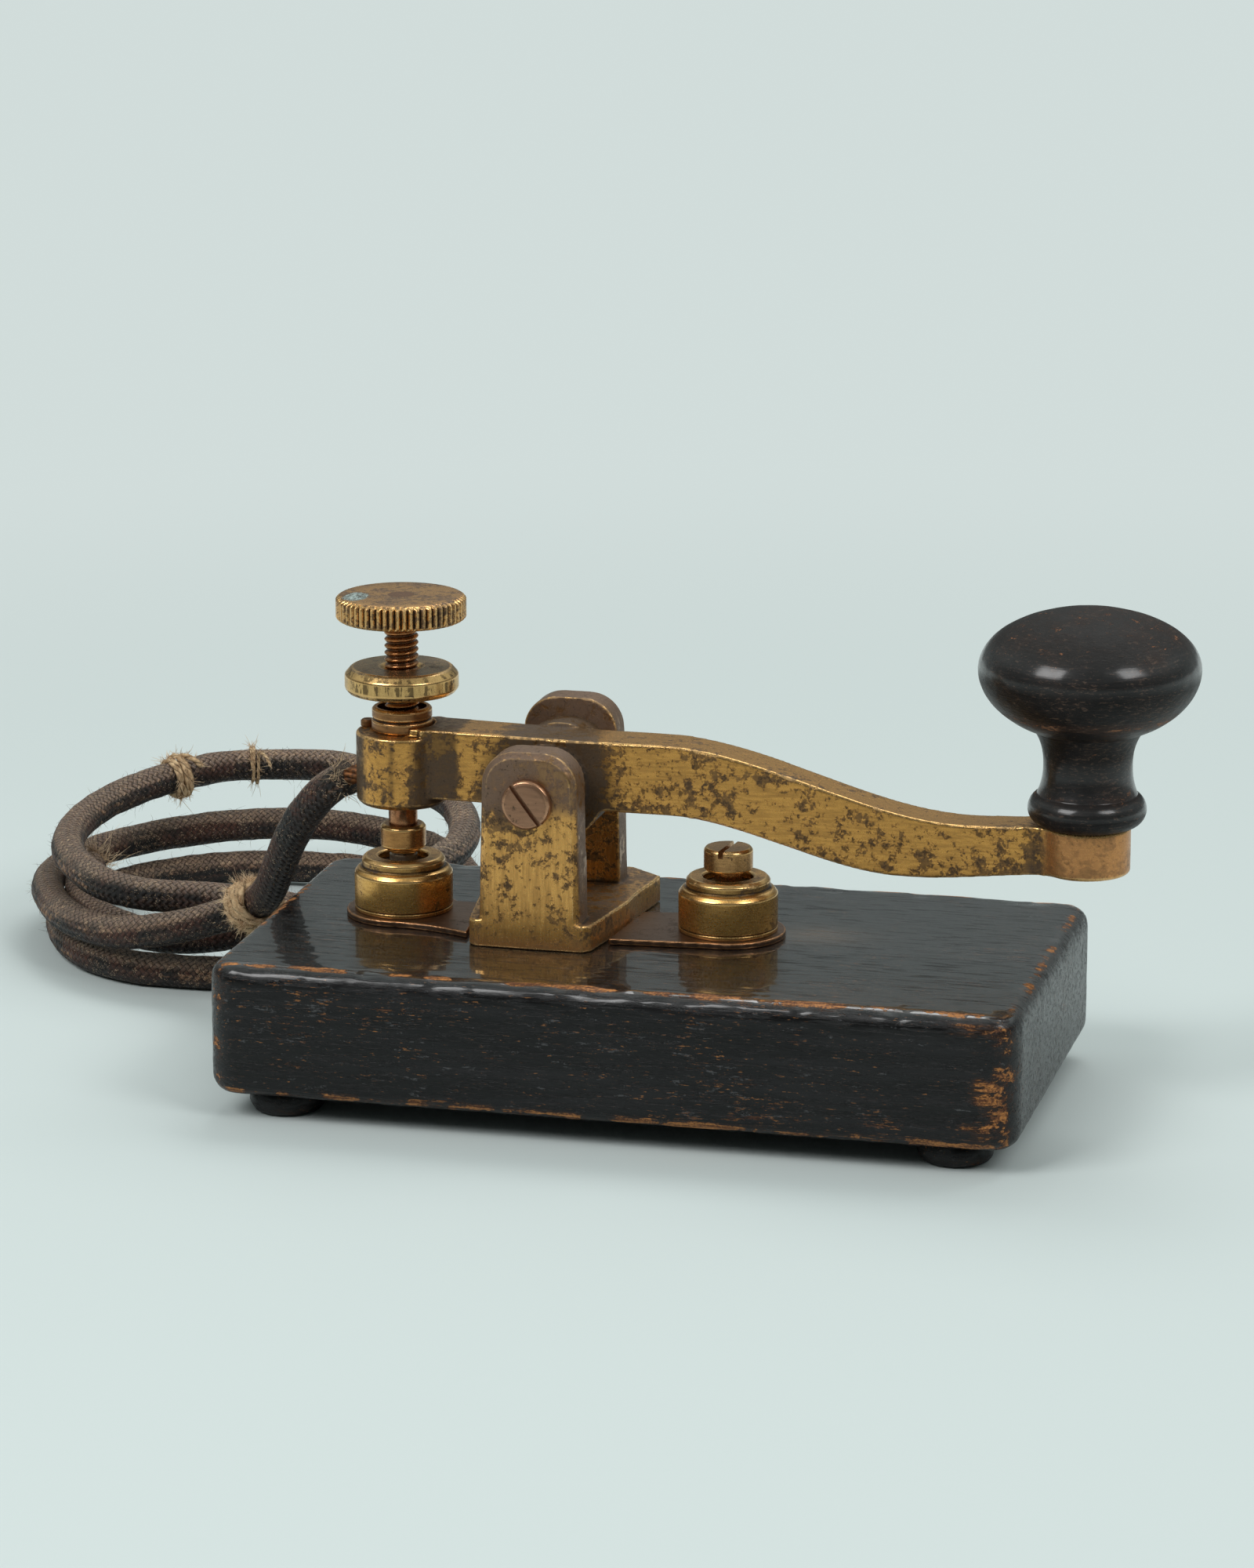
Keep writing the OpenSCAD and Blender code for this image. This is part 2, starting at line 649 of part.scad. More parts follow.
module knob_screw() {
    z0 = top_z + end_boss_under;
    color("#8f7a4a") placed() translate([knob_x, line_y, z0]) difference() {
        union() {
            translate([0, 0, 0.1])
                cylinder(r1 = knob_screw_r + knob_cone, r2 = knob_screw_r - 0.02, h = knob_cone);
            translate([0, 0, knob_cone])
                chamfered_disc(knob_screw_r, end_boss_h + knob_screw_reach, 0.05, 0.8);
        }
        translate([0, 0, 0.1]) mirror([0, 0, 1]) slot_cut(knob_slot_r, knob_slot_d, 0);
    }
}

// Threaded bush on the rear boss, with a grooved rim and a wide countersink round the spindle
module boss_collar() {
    groove_z = collar_h * 0.5;
    color("#7d5a2e") placed() translate([rear_x, line_y, top_z + rear_boss_top]) rotate_extrude() polygon([
        [bore_r, 0], [collar_r - 0.3, 0], [collar_r, 0.3], [collar_r, groove_z - 0.3],
        [collar_r - 0.45, groove_z], [collar_r - 0.1, groove_z + 0.4], [collar_r - 0.1, collar_h - 0.4],
        [collar_r - 0.5, collar_h], [thread_r + 1.4, collar_h], [thread_r + 1.2, collar_h - 2],
        [bore_r, collar_h - 2.2]
    ]);
}

module contact_tip() {
    pin_r = tip_pin_r + running_fit;
    low_z = top_z + tip_under - tip_nose_h;
    color("#9a7a3c") placed() translate([rear_x, line_y, low_z]) rotate_extrude() polygon([
        [0, 0], [tip_nose_r - 0.4, 0], [tip_nose_r, 0.4], [tip_nose_r, tip_nose_h], [tip_r - 0.4, tip_nose_h],
        [tip_r, tip_nose_h + 0.4], [tip_r, tip_nose_h + tip_h - 0.5], [tip_r - 0.5, tip_nose_h + tip_h],
        [pin_r, tip_nose_h + tip_h], [pin_r, tip_nose_h + tip_h - tip_pin_l],
        [0, tip_nose_h + tip_h - tip_pin_l]
    ]);
}

module adjusting_spindle() {
    step_h = rear_boss_under - tip_top + 0.6;
    thread_l = head_under - tip_top - step_h;
    color("#7a5630") placed() translate([rear_x, line_y, top_z + tip_top]) rotate_extrude() polygon([
        [0, -tip_pin_l + 0.05], [tip_pin_r, -tip_pin_l + 0.05], [tip_pin_r, 0.05], [stem_r, 0.05],
        [stem_r, step_h - 0.5], [thread_r, step_h], [thread_r, step_h + thread_l],
        [spigot_r, step_h + thread_l], [spigot_r, step_h + thread_l + head_h],
        [0, step_h + thread_l + head_h]
    ]);
}

module thumb_head() {
    color("#a87a3e") placed() translate([rear_x, line_y, top_z + head_under]) difference() {
        intersection() {
            linear_extrude(head_h) polygon([
                for (i = [0:2 * knurl_count - 1])
                    let (r = head_r - (i % 2) * knurl_depth, a = 180 * i / knurl_count)
                        [r * cos(a), r * sin(a)]
            ]);
            chamfered_disc(head_r + 0.05, head_h, 0.6, 0.6);
        }
        translate([0, 0, -1]) cylinder(r = spigot_r, h = head_h + 2);
    }
}

module lock_disc() {
    color("#a58545") placed() translate([rear_x, line_y, top_z + disc_under]) rotate_extrude() polygon([
        [bore_r + 0.6, 0], [disc_r - 0.7, 0], [disc_r, 0.9], [disc_r, disc_h - 1.4],
        [disc_r - 1, disc_h - 0.25], [disc_r - 1.4, disc_h], [bore_r + 0.8, disc_h], [bore_r, disc_h - 0.8],
        [bore_r, 0.6]
    ]);
}

// Flat strip under an anvil: a round end and a straight tongue towards the pivot frame
module rear_strip() {
    y_back = 0.6 * strip_r;
    y_front = -strip_r - 3.6;
    reach_front = rear_arm - plate_half(y_front) - strip_gap;
    color("#6f5433") placed() translate([rear_x, line_y, top_z]) difference() {
        union() {
            cylinder(r = strip_r, h = strip_t);
            linear_extrude(strip_t) polygon(concat(
                [[-1, y_back], [rear_arm - plate_half(y_back) - strip_gap, y_back]],
                [
                    for (i = [0:10]) let (t = 1 - i / 10)
                        [reach_front * t, strip_bite - strip_r - (3.6 + strip_bite) * pow(t, 2.2)]
                ],
                [[-1, 0.3 - strip_r]]
            ));
        }
        translate([0, 0, -1]) cylinder(r = stud_r + 0.2, h = strip_t + 2);
    }
}

module front_strip() {
    y_back = 0.7 * strip_r;
    y_front = -strip_r - 1.6;
    color("#6f5433") placed() translate([front_x, line_y, top_z]) difference() {
        union() {
            cylinder(r = strip_r, h = strip_t);
            linear_extrude(strip_t) polygon([
                [1, strip_r - 0.3], [1, 0.3 - strip_r], [0, strip_bite - strip_r],
                [plate_half(y_front) + strip_gap - contact_arm, y_front],
                [plate_half(y_back) + strip_gap - contact_arm, y_back]
            ]);
        }
        translate([0, 0, -1]) cylinder(r = stud_r + 0.2, h = strip_t + 2);
    }
}

// A turned anvil: body, chamfered shoulder, top ring with a well, and the stud below
module anvil(hole_r, hole_depth) {
    body_z = strip_t + anvil_body_h;
    ring_z = body_z + ring_h;
    low_z = stud_end - top_z;
    translate([0, 0, top_z]) rotate_extrude() polygon([
        [0, low_z], [stud_r - 0.6, low_z], [stud_r, low_z + 0.6], [stud_r, strip_t], [anvil_r - 0.4, strip_t],
        [anvil_r, strip_t + 0.4], [anvil_r, body_z - 0.7], [anvil_r - 0.6, body_z],
        [ring_r + 0.15, body_z + 0.35], [ring_r, body_z + 0.6], [ring_r, ring_z - 0.6],
        [ring_r - 0.6, ring_z], [well_r + 0.3, ring_z], [well_r, ring_z - 0.3], [well_r, ring_z - 1.8],
        [hole_r, ring_z - 1.8], [hole_r, ring_z - hole_depth], [0, ring_z - hole_depth]
    ]);
}

module rear_anvil() {
    color("#a9873f") placed() translate([rear_x, line_y, 0]) anvil(1.6, 5);
}

module rear_contact() {
    pip_r = 2.6;
    ring_z = strip_t + anvil_body_h + ring_h;
    color("#8c8676") placed() translate([rear_x, line_y, top_z]) rotate_extrude() polygon([
        [0, ring_z - 4.9], [1.6, ring_z - 4.9], [1.6, ring_z - 1.8], [pip_r, ring_z - 1.8],
        [pip_r, contact_h - 0.3], [pip_r - 0.3, contact_h], [0, contact_h]
    ]);
}

module front_anvil() {
    color("#a9873f") placed() translate([front_x, line_y, 0])
        anvil(contact_thread_r + running_fit, anvil_body_h + 1);
}

module front_contact_screw() {
    thread_l = contact_top - contact_head_h - strip_t - 2.6;
    color("#9a7440") placed() translate([front_x, line_y, top_z + contact_top]) difference() {
        translate([0, 0, -contact_head_h]) rotate_extrude() polygon([
            [0, -thread_l], [contact_thread_r - 0.4, -thread_l], [contact_thread_r, -thread_l + 0.4],
            [contact_thread_r, 0], [contact_head_r - 0.3, 0], [contact_head_r, 0.3],
            [contact_head_r, contact_head_h - 0.4], [contact_head_r - 0.4, contact_head_h],
            [0, contact_head_h]
        ]);
        slot_cut(contact_head_r, 1.3, 84);
    }
}

module anvil_washers() {
    low_z = foot_h + counterbore_d - washer_t;
    color("#9a8f70") placed() anvil_places() translate([0, 0, low_z]) difference() {
        cylinder(r = washer_r, h = washer_t);
        translate([0, 0, -1]) cylinder(r = stud_r + 0.1, h = washer_t + 2);
    }
}

module anvil_nuts() {
    low_z = foot_h + counterbore_d - washer_t - nut_h;
    color("#9c7d3c") placed() anvil_places() translate([0, 0, low_z]) difference() {
        intersection() {
            cylinder(r = nut_r, h = nut_h, $fn = 6);
            chamfered_disc(nut_r - 0.1, nut_h, 0.5, 0.5);
        }
        translate([0, 0, -1]) cylinder(r = stud_r, h = nut_h + 2);
    }
}

module lead_core() {
    color("#7a4a28") placed() swept(core_points, core_r, 8);
}

module cord_lead() {
    color("#2c2522") placed() swept(lead_points, cord_r, lead_sides);
}

// Outer shape of the coil: a round ring with rounded edges, lying on the surface
module cord_coil() {
    w = coil_w / 2 - coil_edge_r;
    high = coil_h - coil_edge_r;
    color("#33291f") placed() translate([coil_centre[0], coil_centre[1], 0])
        rotate_extrude() translate([coil_r, 0]) polygon(concat(
            arc(w, coil_edge_r, coil_edge_r, -90, 0, 5), arc(w, high, coil_edge_r, 0, 90, 5),
            arc(-w, high, coil_edge_r, 90, 180, 5), arc(-w, coil_edge_r, coil_edge_r, 180, 270, 5)
        ));
}

// String wound round the lead above the coil
module cord_tie() {
    d = path_dir(lead_points, tie_at);
    color("#8a7050") placed() translate(lead_points[tie_at]) rotate([0, acos(d[2]), atan2(d[1], d[0])])
        translate([0, 0, -2]) difference() {
            chamfered_disc(cord_r + 1, 4, 0.6, 0.6);
            translate([0, 0, -1]) cylinder(r = cord_r + 0.15, h = 6);
        }
}

base();
feet();
foot_screws();
pivot_frame();
frame_screws();
pivot_bolt();
return_spring();
lever();
knob();
knob_screw();
boss_collar();
contact_tip();
adjusting_spindle();
thumb_head();
lock_disc();
rear_strip();
rear_anvil();
rear_contact();
front_strip();
front_anvil();
front_contact_screw();
anvil_nuts();
anvil_washers();
lead_clamp_screw();
lead_core();
cord_lead();
cord_coil();
cord_tie();
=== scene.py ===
# %% [markdown]
# # A straight telegraph key in brass and black wood
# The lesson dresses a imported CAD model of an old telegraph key: a black wooden base, a brass
# pivot frame, an S-shaped lever with a turned knob, a stack of adjusting parts at the back and
# a braided cord that lies in a coil behind it. The CAD solids stay where they are, as a frame
# that nothing moves. Each visible piece either gets a finish of its own or is built again,
# finer, in the same place. One unit is a metre, and most sizes are written in millimetres.

# %% Load the frame
import math

import bmesh
import bpy
import numpy as np
from mathutils import Matrix, Vector


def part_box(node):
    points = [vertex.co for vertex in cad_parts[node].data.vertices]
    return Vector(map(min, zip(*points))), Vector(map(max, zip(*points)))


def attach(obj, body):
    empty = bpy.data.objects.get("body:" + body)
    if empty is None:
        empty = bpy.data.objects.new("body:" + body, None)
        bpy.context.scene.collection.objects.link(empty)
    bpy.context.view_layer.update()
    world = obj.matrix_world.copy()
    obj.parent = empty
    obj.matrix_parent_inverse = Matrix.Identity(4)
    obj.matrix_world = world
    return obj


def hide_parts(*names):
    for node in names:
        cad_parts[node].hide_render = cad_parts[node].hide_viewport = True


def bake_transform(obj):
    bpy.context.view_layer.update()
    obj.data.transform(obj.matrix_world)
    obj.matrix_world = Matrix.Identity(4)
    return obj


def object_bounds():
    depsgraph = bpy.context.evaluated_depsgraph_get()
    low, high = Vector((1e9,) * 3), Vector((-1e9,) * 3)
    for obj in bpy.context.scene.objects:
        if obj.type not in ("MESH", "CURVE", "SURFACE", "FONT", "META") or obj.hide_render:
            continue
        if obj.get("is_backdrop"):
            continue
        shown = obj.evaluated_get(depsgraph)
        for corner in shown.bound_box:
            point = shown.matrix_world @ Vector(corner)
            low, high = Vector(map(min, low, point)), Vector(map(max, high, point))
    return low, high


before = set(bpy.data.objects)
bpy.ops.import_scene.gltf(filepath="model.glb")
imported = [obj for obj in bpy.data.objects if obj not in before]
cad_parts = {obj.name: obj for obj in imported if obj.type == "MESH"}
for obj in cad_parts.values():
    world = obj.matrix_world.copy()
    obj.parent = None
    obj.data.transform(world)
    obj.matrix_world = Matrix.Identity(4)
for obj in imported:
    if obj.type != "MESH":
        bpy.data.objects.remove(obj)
cad_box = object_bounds()
MM = 0.001

# %% [markdown]
# ## Where things are
# The base is 150 mm long and its middle lies a little to one side of the shared origin, since
# the knob reaches over its end. Places that were measured from the middle of the base go
# through one function. Turned parts need only the axis that they stand on, and that comes
# from the box of their own CAD solid, so a change in the CAD moves the dressed part too.

# %% Places
base_low, base_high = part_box("base")
BASE_MIDDLE_X = (base_low.x + base_high.x) / 2
BASE_TOP = base_high.z


def at(x, y, z):
    """A place in metres, from millimetres measured from the middle of the base."""
    return Vector((BASE_MIDDLE_X + x * MM, y * MM, z * MM))


def foot_of(node):
    """The lowest point on the axis of a turned CAD node."""
    low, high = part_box(node)
    return Vector(((low.x + high.x) / 2, (low.y + high.y) / 2, low.z))


print("base top", round(BASE_TOP / MM, 2), "mm, middle of the base at x", round(BASE_MIDDLE_X / MM, 2), "mm")

# %% [markdown]
# ## Camera
# The key was photographed from the front, slightly to the right and from above, with a long
# lens from about a metre away. A long lens keeps the turned parts' ellipses flat. The camera
# is put on a sphere round the target, which is easier to adjust than three coordinates.

# %% Camera
AZIMUTH, ELEVATION, DISTANCE = 14.0, 14.25, 1.0117
FOCAL_LENGTH, SENSOR_WIDTH, SEEN_UP_TO = 126, 36, 20
TARGET = at(-5.7, 0, 57.45)


def on_sphere(centre, azimuth, elevation, distance):
    """A place round a centre: azimuth 0 lies in front, at -Y, and 90 at +X."""
    a, e = math.radians(azimuth), math.radians(elevation)
    return centre + distance * Vector((math.sin(a) * math.cos(e), -math.cos(a) * math.cos(e), math.sin(e)))


def aim(obj, azimuth, elevation, distance):
    """Puts a camera or lamp on a sphere round the target and turns it to look there."""
    bpy.context.scene.collection.objects.link(obj)
    obj.location = on_sphere(TARGET, azimuth, elevation, distance)
    obj.rotation_euler = (TARGET - obj.location).to_track_quat("-Z", "Y").to_euler()


camera = bpy.data.objects.new("camera", bpy.data.cameras.new("camera"))
camera.data.lens, camera.data.sensor_width, camera.data.clip_end = FOCAL_LENGTH, SENSOR_WIDTH, SEEN_UP_TO
aim(camera, AZIMUTH, ELEVATION, DISTANCE)
bpy.context.scene.camera = camera
print("camera at", [round(v, 3) for v in camera.location])

# %% [markdown]
# ## The route of the cord
# The cord leaves the boss of the lever as a bare conductor, comes down behind the base in one
# long slope and then lies in a loose coil of a little over three turns. Both ends show in the
# photograph, so its length is the length of this route. The slope is a list of given points,
# the same as in the CAD source. The coil is worked out in a loop from a short table: how far
# round, how far from the coil's centre and how high, read from the strands that show.

# %% Route of the cord
CORD_D = 6.6
RING_STEP, SMOOTHINGS = 0.7, 14
BOSS_FACE = at(-57.8, 1.5, 56)
LEAD = [
    (-59.9, 1.8, 55), (-62.5, 2.2, 53.8), (-65, 3.4, 51.8), (-67.6, 5, 49.2), (-70.2, 7, 46.1),
    (-72.6, 9.4, 42.8), (-74.9, 12.2, 39.2), (-77, 15, 35.6), (-79.1, 18, 32), (-81, 21, 28.6),
    (-83, 24.4, 25.6), (-85.4, 27.6, 23), (-88.2, 30.2, 20.8), (-91, 32.4, 19), (-93.6, 34.2, 17.6),
]
COIL_CENTRE = (-104, 81)
COIL_START = -77.5
# degrees clockwise from the start, distance from the centre, height
COIL = [
    (0, 47.9, 17.6), (10, 47.5, 15), (24, 46.6, 11.6), (38, 45.3, 10.4), (69, 42, 10.1), (104, 43.4, 10.2),
    (147, 41.5, 11.5), (192, 40, 13), (237, 41.5, 12), (282, 44.2, 9.6), (302, 44.8, 7.3), (327, 43.8, 4.4),
    (344, 42.4, 3.6), (372, 41.4, 3.4), (386, 43, 3.4), (400, 42.8, 3.4), (430, 39.8, 3.4), (462, 40, 3.4),
    (507, 38.5, 3.6), (552, 38, 4), (597, 37.5, 5), (642, 37.5, 6.7), (662, 38.5, 9.6), (687, 41.8, 12.3),
    (697, 42, 14.6), (706, 41, 16.4), (720, 39, 17.4), (736, 37.8, 17.6), (756, 40.2, 17.6),
    (779, 38.4, 18.4), (815, 38.2, 20), (853, 38.8, 23), (885, 41.2, 25), (915, 42.4, 25.2),
    (957, 43.3, 23.5), (1002, 42.3, 20), (1022, 39.4, 18.8), (1047, 35.4, 15.9), (1064, 35, 12.6),
    (1080, 35, 10.2), (1102, 34.9, 7.8), (1140, 35.2, 8.3), (1182, 36.3, 11.2), (1197, 36.7, 12),
]


def smooth_line(points, step):
    """Points about one step apart on a smooth curve through the given points."""
    p = np.array([tuple(q) for q in points], float)
    p = np.vstack([2 * p[0] - p[1], p, 2 * p[-1] - p[-2]])
    out = []
    for a, b, c, d in zip(p, p[1:], p[2:], p[3:]):
        n = max(1, int(round(np.linalg.norm(c - b) / step)))
        square, cube = 2 * a - 5 * b + 4 * c - d, 3 * b - a - 3 * c + d
        out += [0.5 * (2 * b + (c - a) * t + square * t**2 + cube * t**3) for t in np.arange(n) / n]
    return np.array(out + [p[-2]])


def coil_places():
    """The coil's route, twenty-four points a turn."""
    keys = np.array(COIL, float)
    turned = np.arange(15, COIL[-1][0] + 1, 15)
    radius, height = (np.interp(turned, keys[:, 0], keys[:, k]) for k in (1, 2))
    angle = np.radians(COIL_START - turned)
    return [
        at(COIL_CENTRE[0] + r * math.cos(a), COIL_CENTRE[1] + r * math.sin(a), z)
        for a, r, z in zip(angle, radius, height)
    ]


cord_route = smooth_line([at(*p) for p in LEAD] + coil_places(), RING_STEP * MM)
for _ in range(SMOOTHINGS):
    cord_route[1:-1] = (cord_route[:-2] + 2 * cord_route[1:-1] + cord_route[2:]) / 4

# %% [markdown]
# ## Small helpers for meshes
# Everything below is made from lists of points and faces, so a few helpers carry most of the
# work: one that puts a mesh into the scene, one that keeps a number per point for a material to
# read, one that makes random but repeatable lumps, and one that builds round tubes. A tube's
# rings are turned as little as possible from one to the next, so that a woven pattern that
# follows them doesn't twist. Its UV map says how far round and how far along a place is.

# %% Mesh helpers
def placed(name, mesh):
    """A new object in the scene."""
    piece = bpy.data.objects.new(name, mesh)
    bpy.context.scene.collection.objects.link(piece)
    return piece


def add_mesh(name, points, faces):
    """A new smooth mesh object from points in metres and faces."""
    mesh = bpy.data.meshes.new(name)
    mesh.from_pydata([tuple(p) for p in points], [], [tuple(f) for f in faces])
    mesh.shade_smooth()
    return placed(name, mesh)


def mark(piece, **kept):
    """Keeps one number per point under each name, for the finishes."""
    for name, values in kept.items():
        layer = piece.data.attributes.new(name, "FLOAT", "POINT")
        layer.data.foreach_set("value", np.asarray(values, np.float32))


def sharpen(piece, degrees):
    """Keeps edges that bend more than so many degrees sharp."""
    piece.data.set_sharp_from_angle(angle=math.radians(degrees))


def points_of(piece, what="co"):
    """One row of three numbers for each point of a mesh: its place, or its normal."""
    found = np.zeros(len(piece.data.vertices) * 3, np.float32)
    piece.data.vertices.foreach_get(what, found)
    return found.reshape(-1, 3).astype(float)


def normals_of(piece):
    return points_of(piece, "normal")


def move_points(piece, points):
    piece.data.vertices.foreach_set("co", np.asarray(points, np.float32).ravel())
    piece.data.update()


TABLE, STRIDES = 4096, np.array([73856093, 19349663, 83492791])


def lumps(points, size, seed):
    """Smooth random heights from -1 to 1 at points in metres, with one lump per size."""
    table = np.random.default_rng(seed).uniform(-1, 1, TABLE)
    scaled = np.asarray(points) / size
    cell = np.floor(scaled).astype(np.int64)
    part = scaled - cell
    part = part * part * (3 - 2 * part)
    total = np.zeros(len(scaled))
    for corner in range(8):
        step = np.array([corner & 1, corner >> 1 & 1, corner >> 2])
        key = (cell + step) * STRIDES
        share = np.where(step, part, 1 - part).prod(axis=1)
        total += table[(key[:, 0] ^ key[:, 1] ^ key[:, 2]) & (TABLE - 1)] * share
    return total


def across(way, other):
    """Two directions square to a way and to each other. The first is also square to the other one given."""
    side = np.cross(way, other)
    side /= np.linalg.norm(side)
    return side, np.cross(side, way)


def rings_along(path, radius, sides):
    """Rings of points square to a path, one array of rings by sides by three."""
    path = np.asarray(path, float)
    ways = np.gradient(path, axis=0)
    ways /= np.linalg.norm(ways, axis=1)[:, None]
    radius = np.broadcast_to(radius, len(path))
    turn = np.arange(sides) * 2 * np.pi / sides
    side = np.cross(ways[0], (0.3, 0.2, 1))
    rings = np.empty((len(path), sides, 3))
    for i, way in enumerate(ways):
        side = side - way * side.dot(way)
        side /= np.linalg.norm(side)
        round_it = np.outer(np.cos(turn), side) + np.outer(np.sin(turn), np.cross(way, side))
        rings[i] = path[i] + radius[i] * round_it
    return rings


def add_tubes(name, paths, radii, sides):
    """One mesh of closed tubes. In its UV map u is the way round, and v the way along in turns as long."""
    points, faces, wraps, first = [], [], [], 0
    for path, radius in zip(paths, radii):
        path = np.asarray(path, float)
        rings = rings_along(path, radius, sides)
        far = np.concatenate([[0], np.cumsum(np.linalg.norm(np.diff(path, axis=0), axis=1))])
        far = far / (2 * np.pi * max(np.max(radius), 1e-6))
        points.append(rings.reshape(-1, 3))
        for i in range(len(path) - 1):
            for k in range(sides):
                a, b = first + i * sides + k, first + i * sides + (k + 1) % sides
                faces.append((a, b, b + sides, a + sides))
                u, w = k / sides, (k + 1) / sides
                wraps += [(u, far[i]), (w, far[i]), (w, far[i + 1]), (u, far[i + 1])]
        last = first + (len(path) - 1) * sides
        faces += [tuple(range(first + sides - 1, first - 1, -1)), tuple(range(last, last + sides))]
        wraps += [(0.5, far[0])] * sides + [(0.5, far[-1])] * sides
        first = last + sides
    piece = add_mesh(name, np.vstack(points), faces)
    layer = piece.data.uv_layers.new(name="round_and_along")
    layer.data.foreach_set("uv", np.array(wraps, np.float32).ravel())
    return piece

# %% [markdown]
# ## Floor and light
# The photograph has a seamless pale grey-green ground and a very soft shadow. Two softboxes in
# front, one left and one right, make the two highlights on the knob; a third, behind and
# above, draws the shadow out under the front edge. The sky behind the key is as pale as the
# ground, and in front and close to the horizon it is darker, as a studio is round its camera
# and beyond its backdrop. The first darkness gives the turned brass its bands, and the second
# keeps the polished base top black. The level is set so that colours come out as written.

# %% Floor and light
GROUND_SEEN = (0.64, 0.718, 0.705, 1)
FLOOR_COLOUR = (0.64, 0.706, 0.695, 1)
FLOOR_REACH = 4
# name, azimuth, elevation, distance, width, height in metres and watts
SOFTBOXES = [
    ("left_light", -38, 44, 1.5, 0.7, 0.7, 10.5), ("right_light", 62, 42, 1.6, 0.55, 0.6, 6.0),
    ("back_light", 165, 58, 1.6, 1.2, 0.6, 7.5),
]

corners = [(x * FLOOR_REACH, y * FLOOR_REACH, 0) for x, y in ((-1, -1), (1, -1), (1, 1), (-1, 1))]
floor = add_mesh("floor", corners, [(0, 1, 2, 3)])
floor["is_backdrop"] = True
for name, azimuth, elevation, distance, width, height, watts in SOFTBOXES:
    lamp = bpy.data.objects.new(name, bpy.data.lights.new(name, "AREA"))
    lamp.data.shape, lamp.data.size, lamp.data.size_y, lamp.data.energy = "RECTANGLE", width, height, watts
    aim(lamp, azimuth, elevation, distance)
bpy.context.scene.view_settings.view_transform = "Standard"

# %% [markdown]
# ## Writing materials as sums
# A finish is a net of nodes, and most of its work is arithmetic on masks: where is it worn,
# where is it stained. The class below wraps one socket, so such sums are written as sums.
# Numbers go through Math nodes; colours go through Mix nodes, because a Math node would
# turn them grey. All patterns are placed by the object's own coordinates in millimetres, so
# they stay at their real size and move with the part.

# %% Sums on sockets
class Wire:
    """An output socket of a net that can be used in sums."""

    def __init__(self, net, socket):
        self.net, self.socket = net, socket

    def do(self, operation, other=0.0):
        """Any Math operation, such as FRACT, SINE or MAXIMUM."""
        return self.net.math(operation, self, other)

    def __add__(self, other):
        return self.do("ADD", other)

    def __sub__(self, other):
        return self.do("SUBTRACT", other)

    def __rsub__(self, other):
        return self.net.math("SUBTRACT", other, self)

    def __mul__(self, other):
        return self.do("MULTIPLY", other)

    __radd__, __rmul__ = __add__, __mul__

    def between(self, low, high, first=0.0, last=1.0):
        """first below low, last above high and smooth between. low may be the larger of the two."""
        sockets = {"Value": self, "From Min": low, "From Max": high, "To Min": first, "To Max": last}
        return self.net.node("ShaderNodeMapRange", {"interpolation_type": "SMOOTHSTEP"}, sockets)

    def part(self, axis):
        return self.net.node("ShaderNodeSeparateXYZ", values={"Vector": self}, out=axis)


class Net:
    """A node tree while it is built."""

    def __init__(self, tree):
        self.tree = tree

    def feed(self, node, values):
        """Gives values or links to the sockets of a node."""
        for name, value in values.items():
            if isinstance(value, Wire):
                self.tree.links.new(value.socket, node.inputs[name])
            else:
                node.inputs[name].default_value = value

    def node(self, kind, settings=None, values=None, out=0):
        """A node of any type: its settings first, then the values or links of its sockets."""
        made = self.tree.nodes.new(kind)
        for name, value in (settings or {}).items():
            setattr(made, name, value)
        self.feed(made, values or {})
        return Wire(self, made.outputs[out])

    def math(self, operation, first, second):
        return self.node("ShaderNodeMath", {"operation": operation}, {0: first, 1: second})

    def vector(self, operation, first, second=(0, 0, 0), out=0):
        return self.node("ShaderNodeVectorMath", {"operation": operation}, {0: first, 1: second}, out)


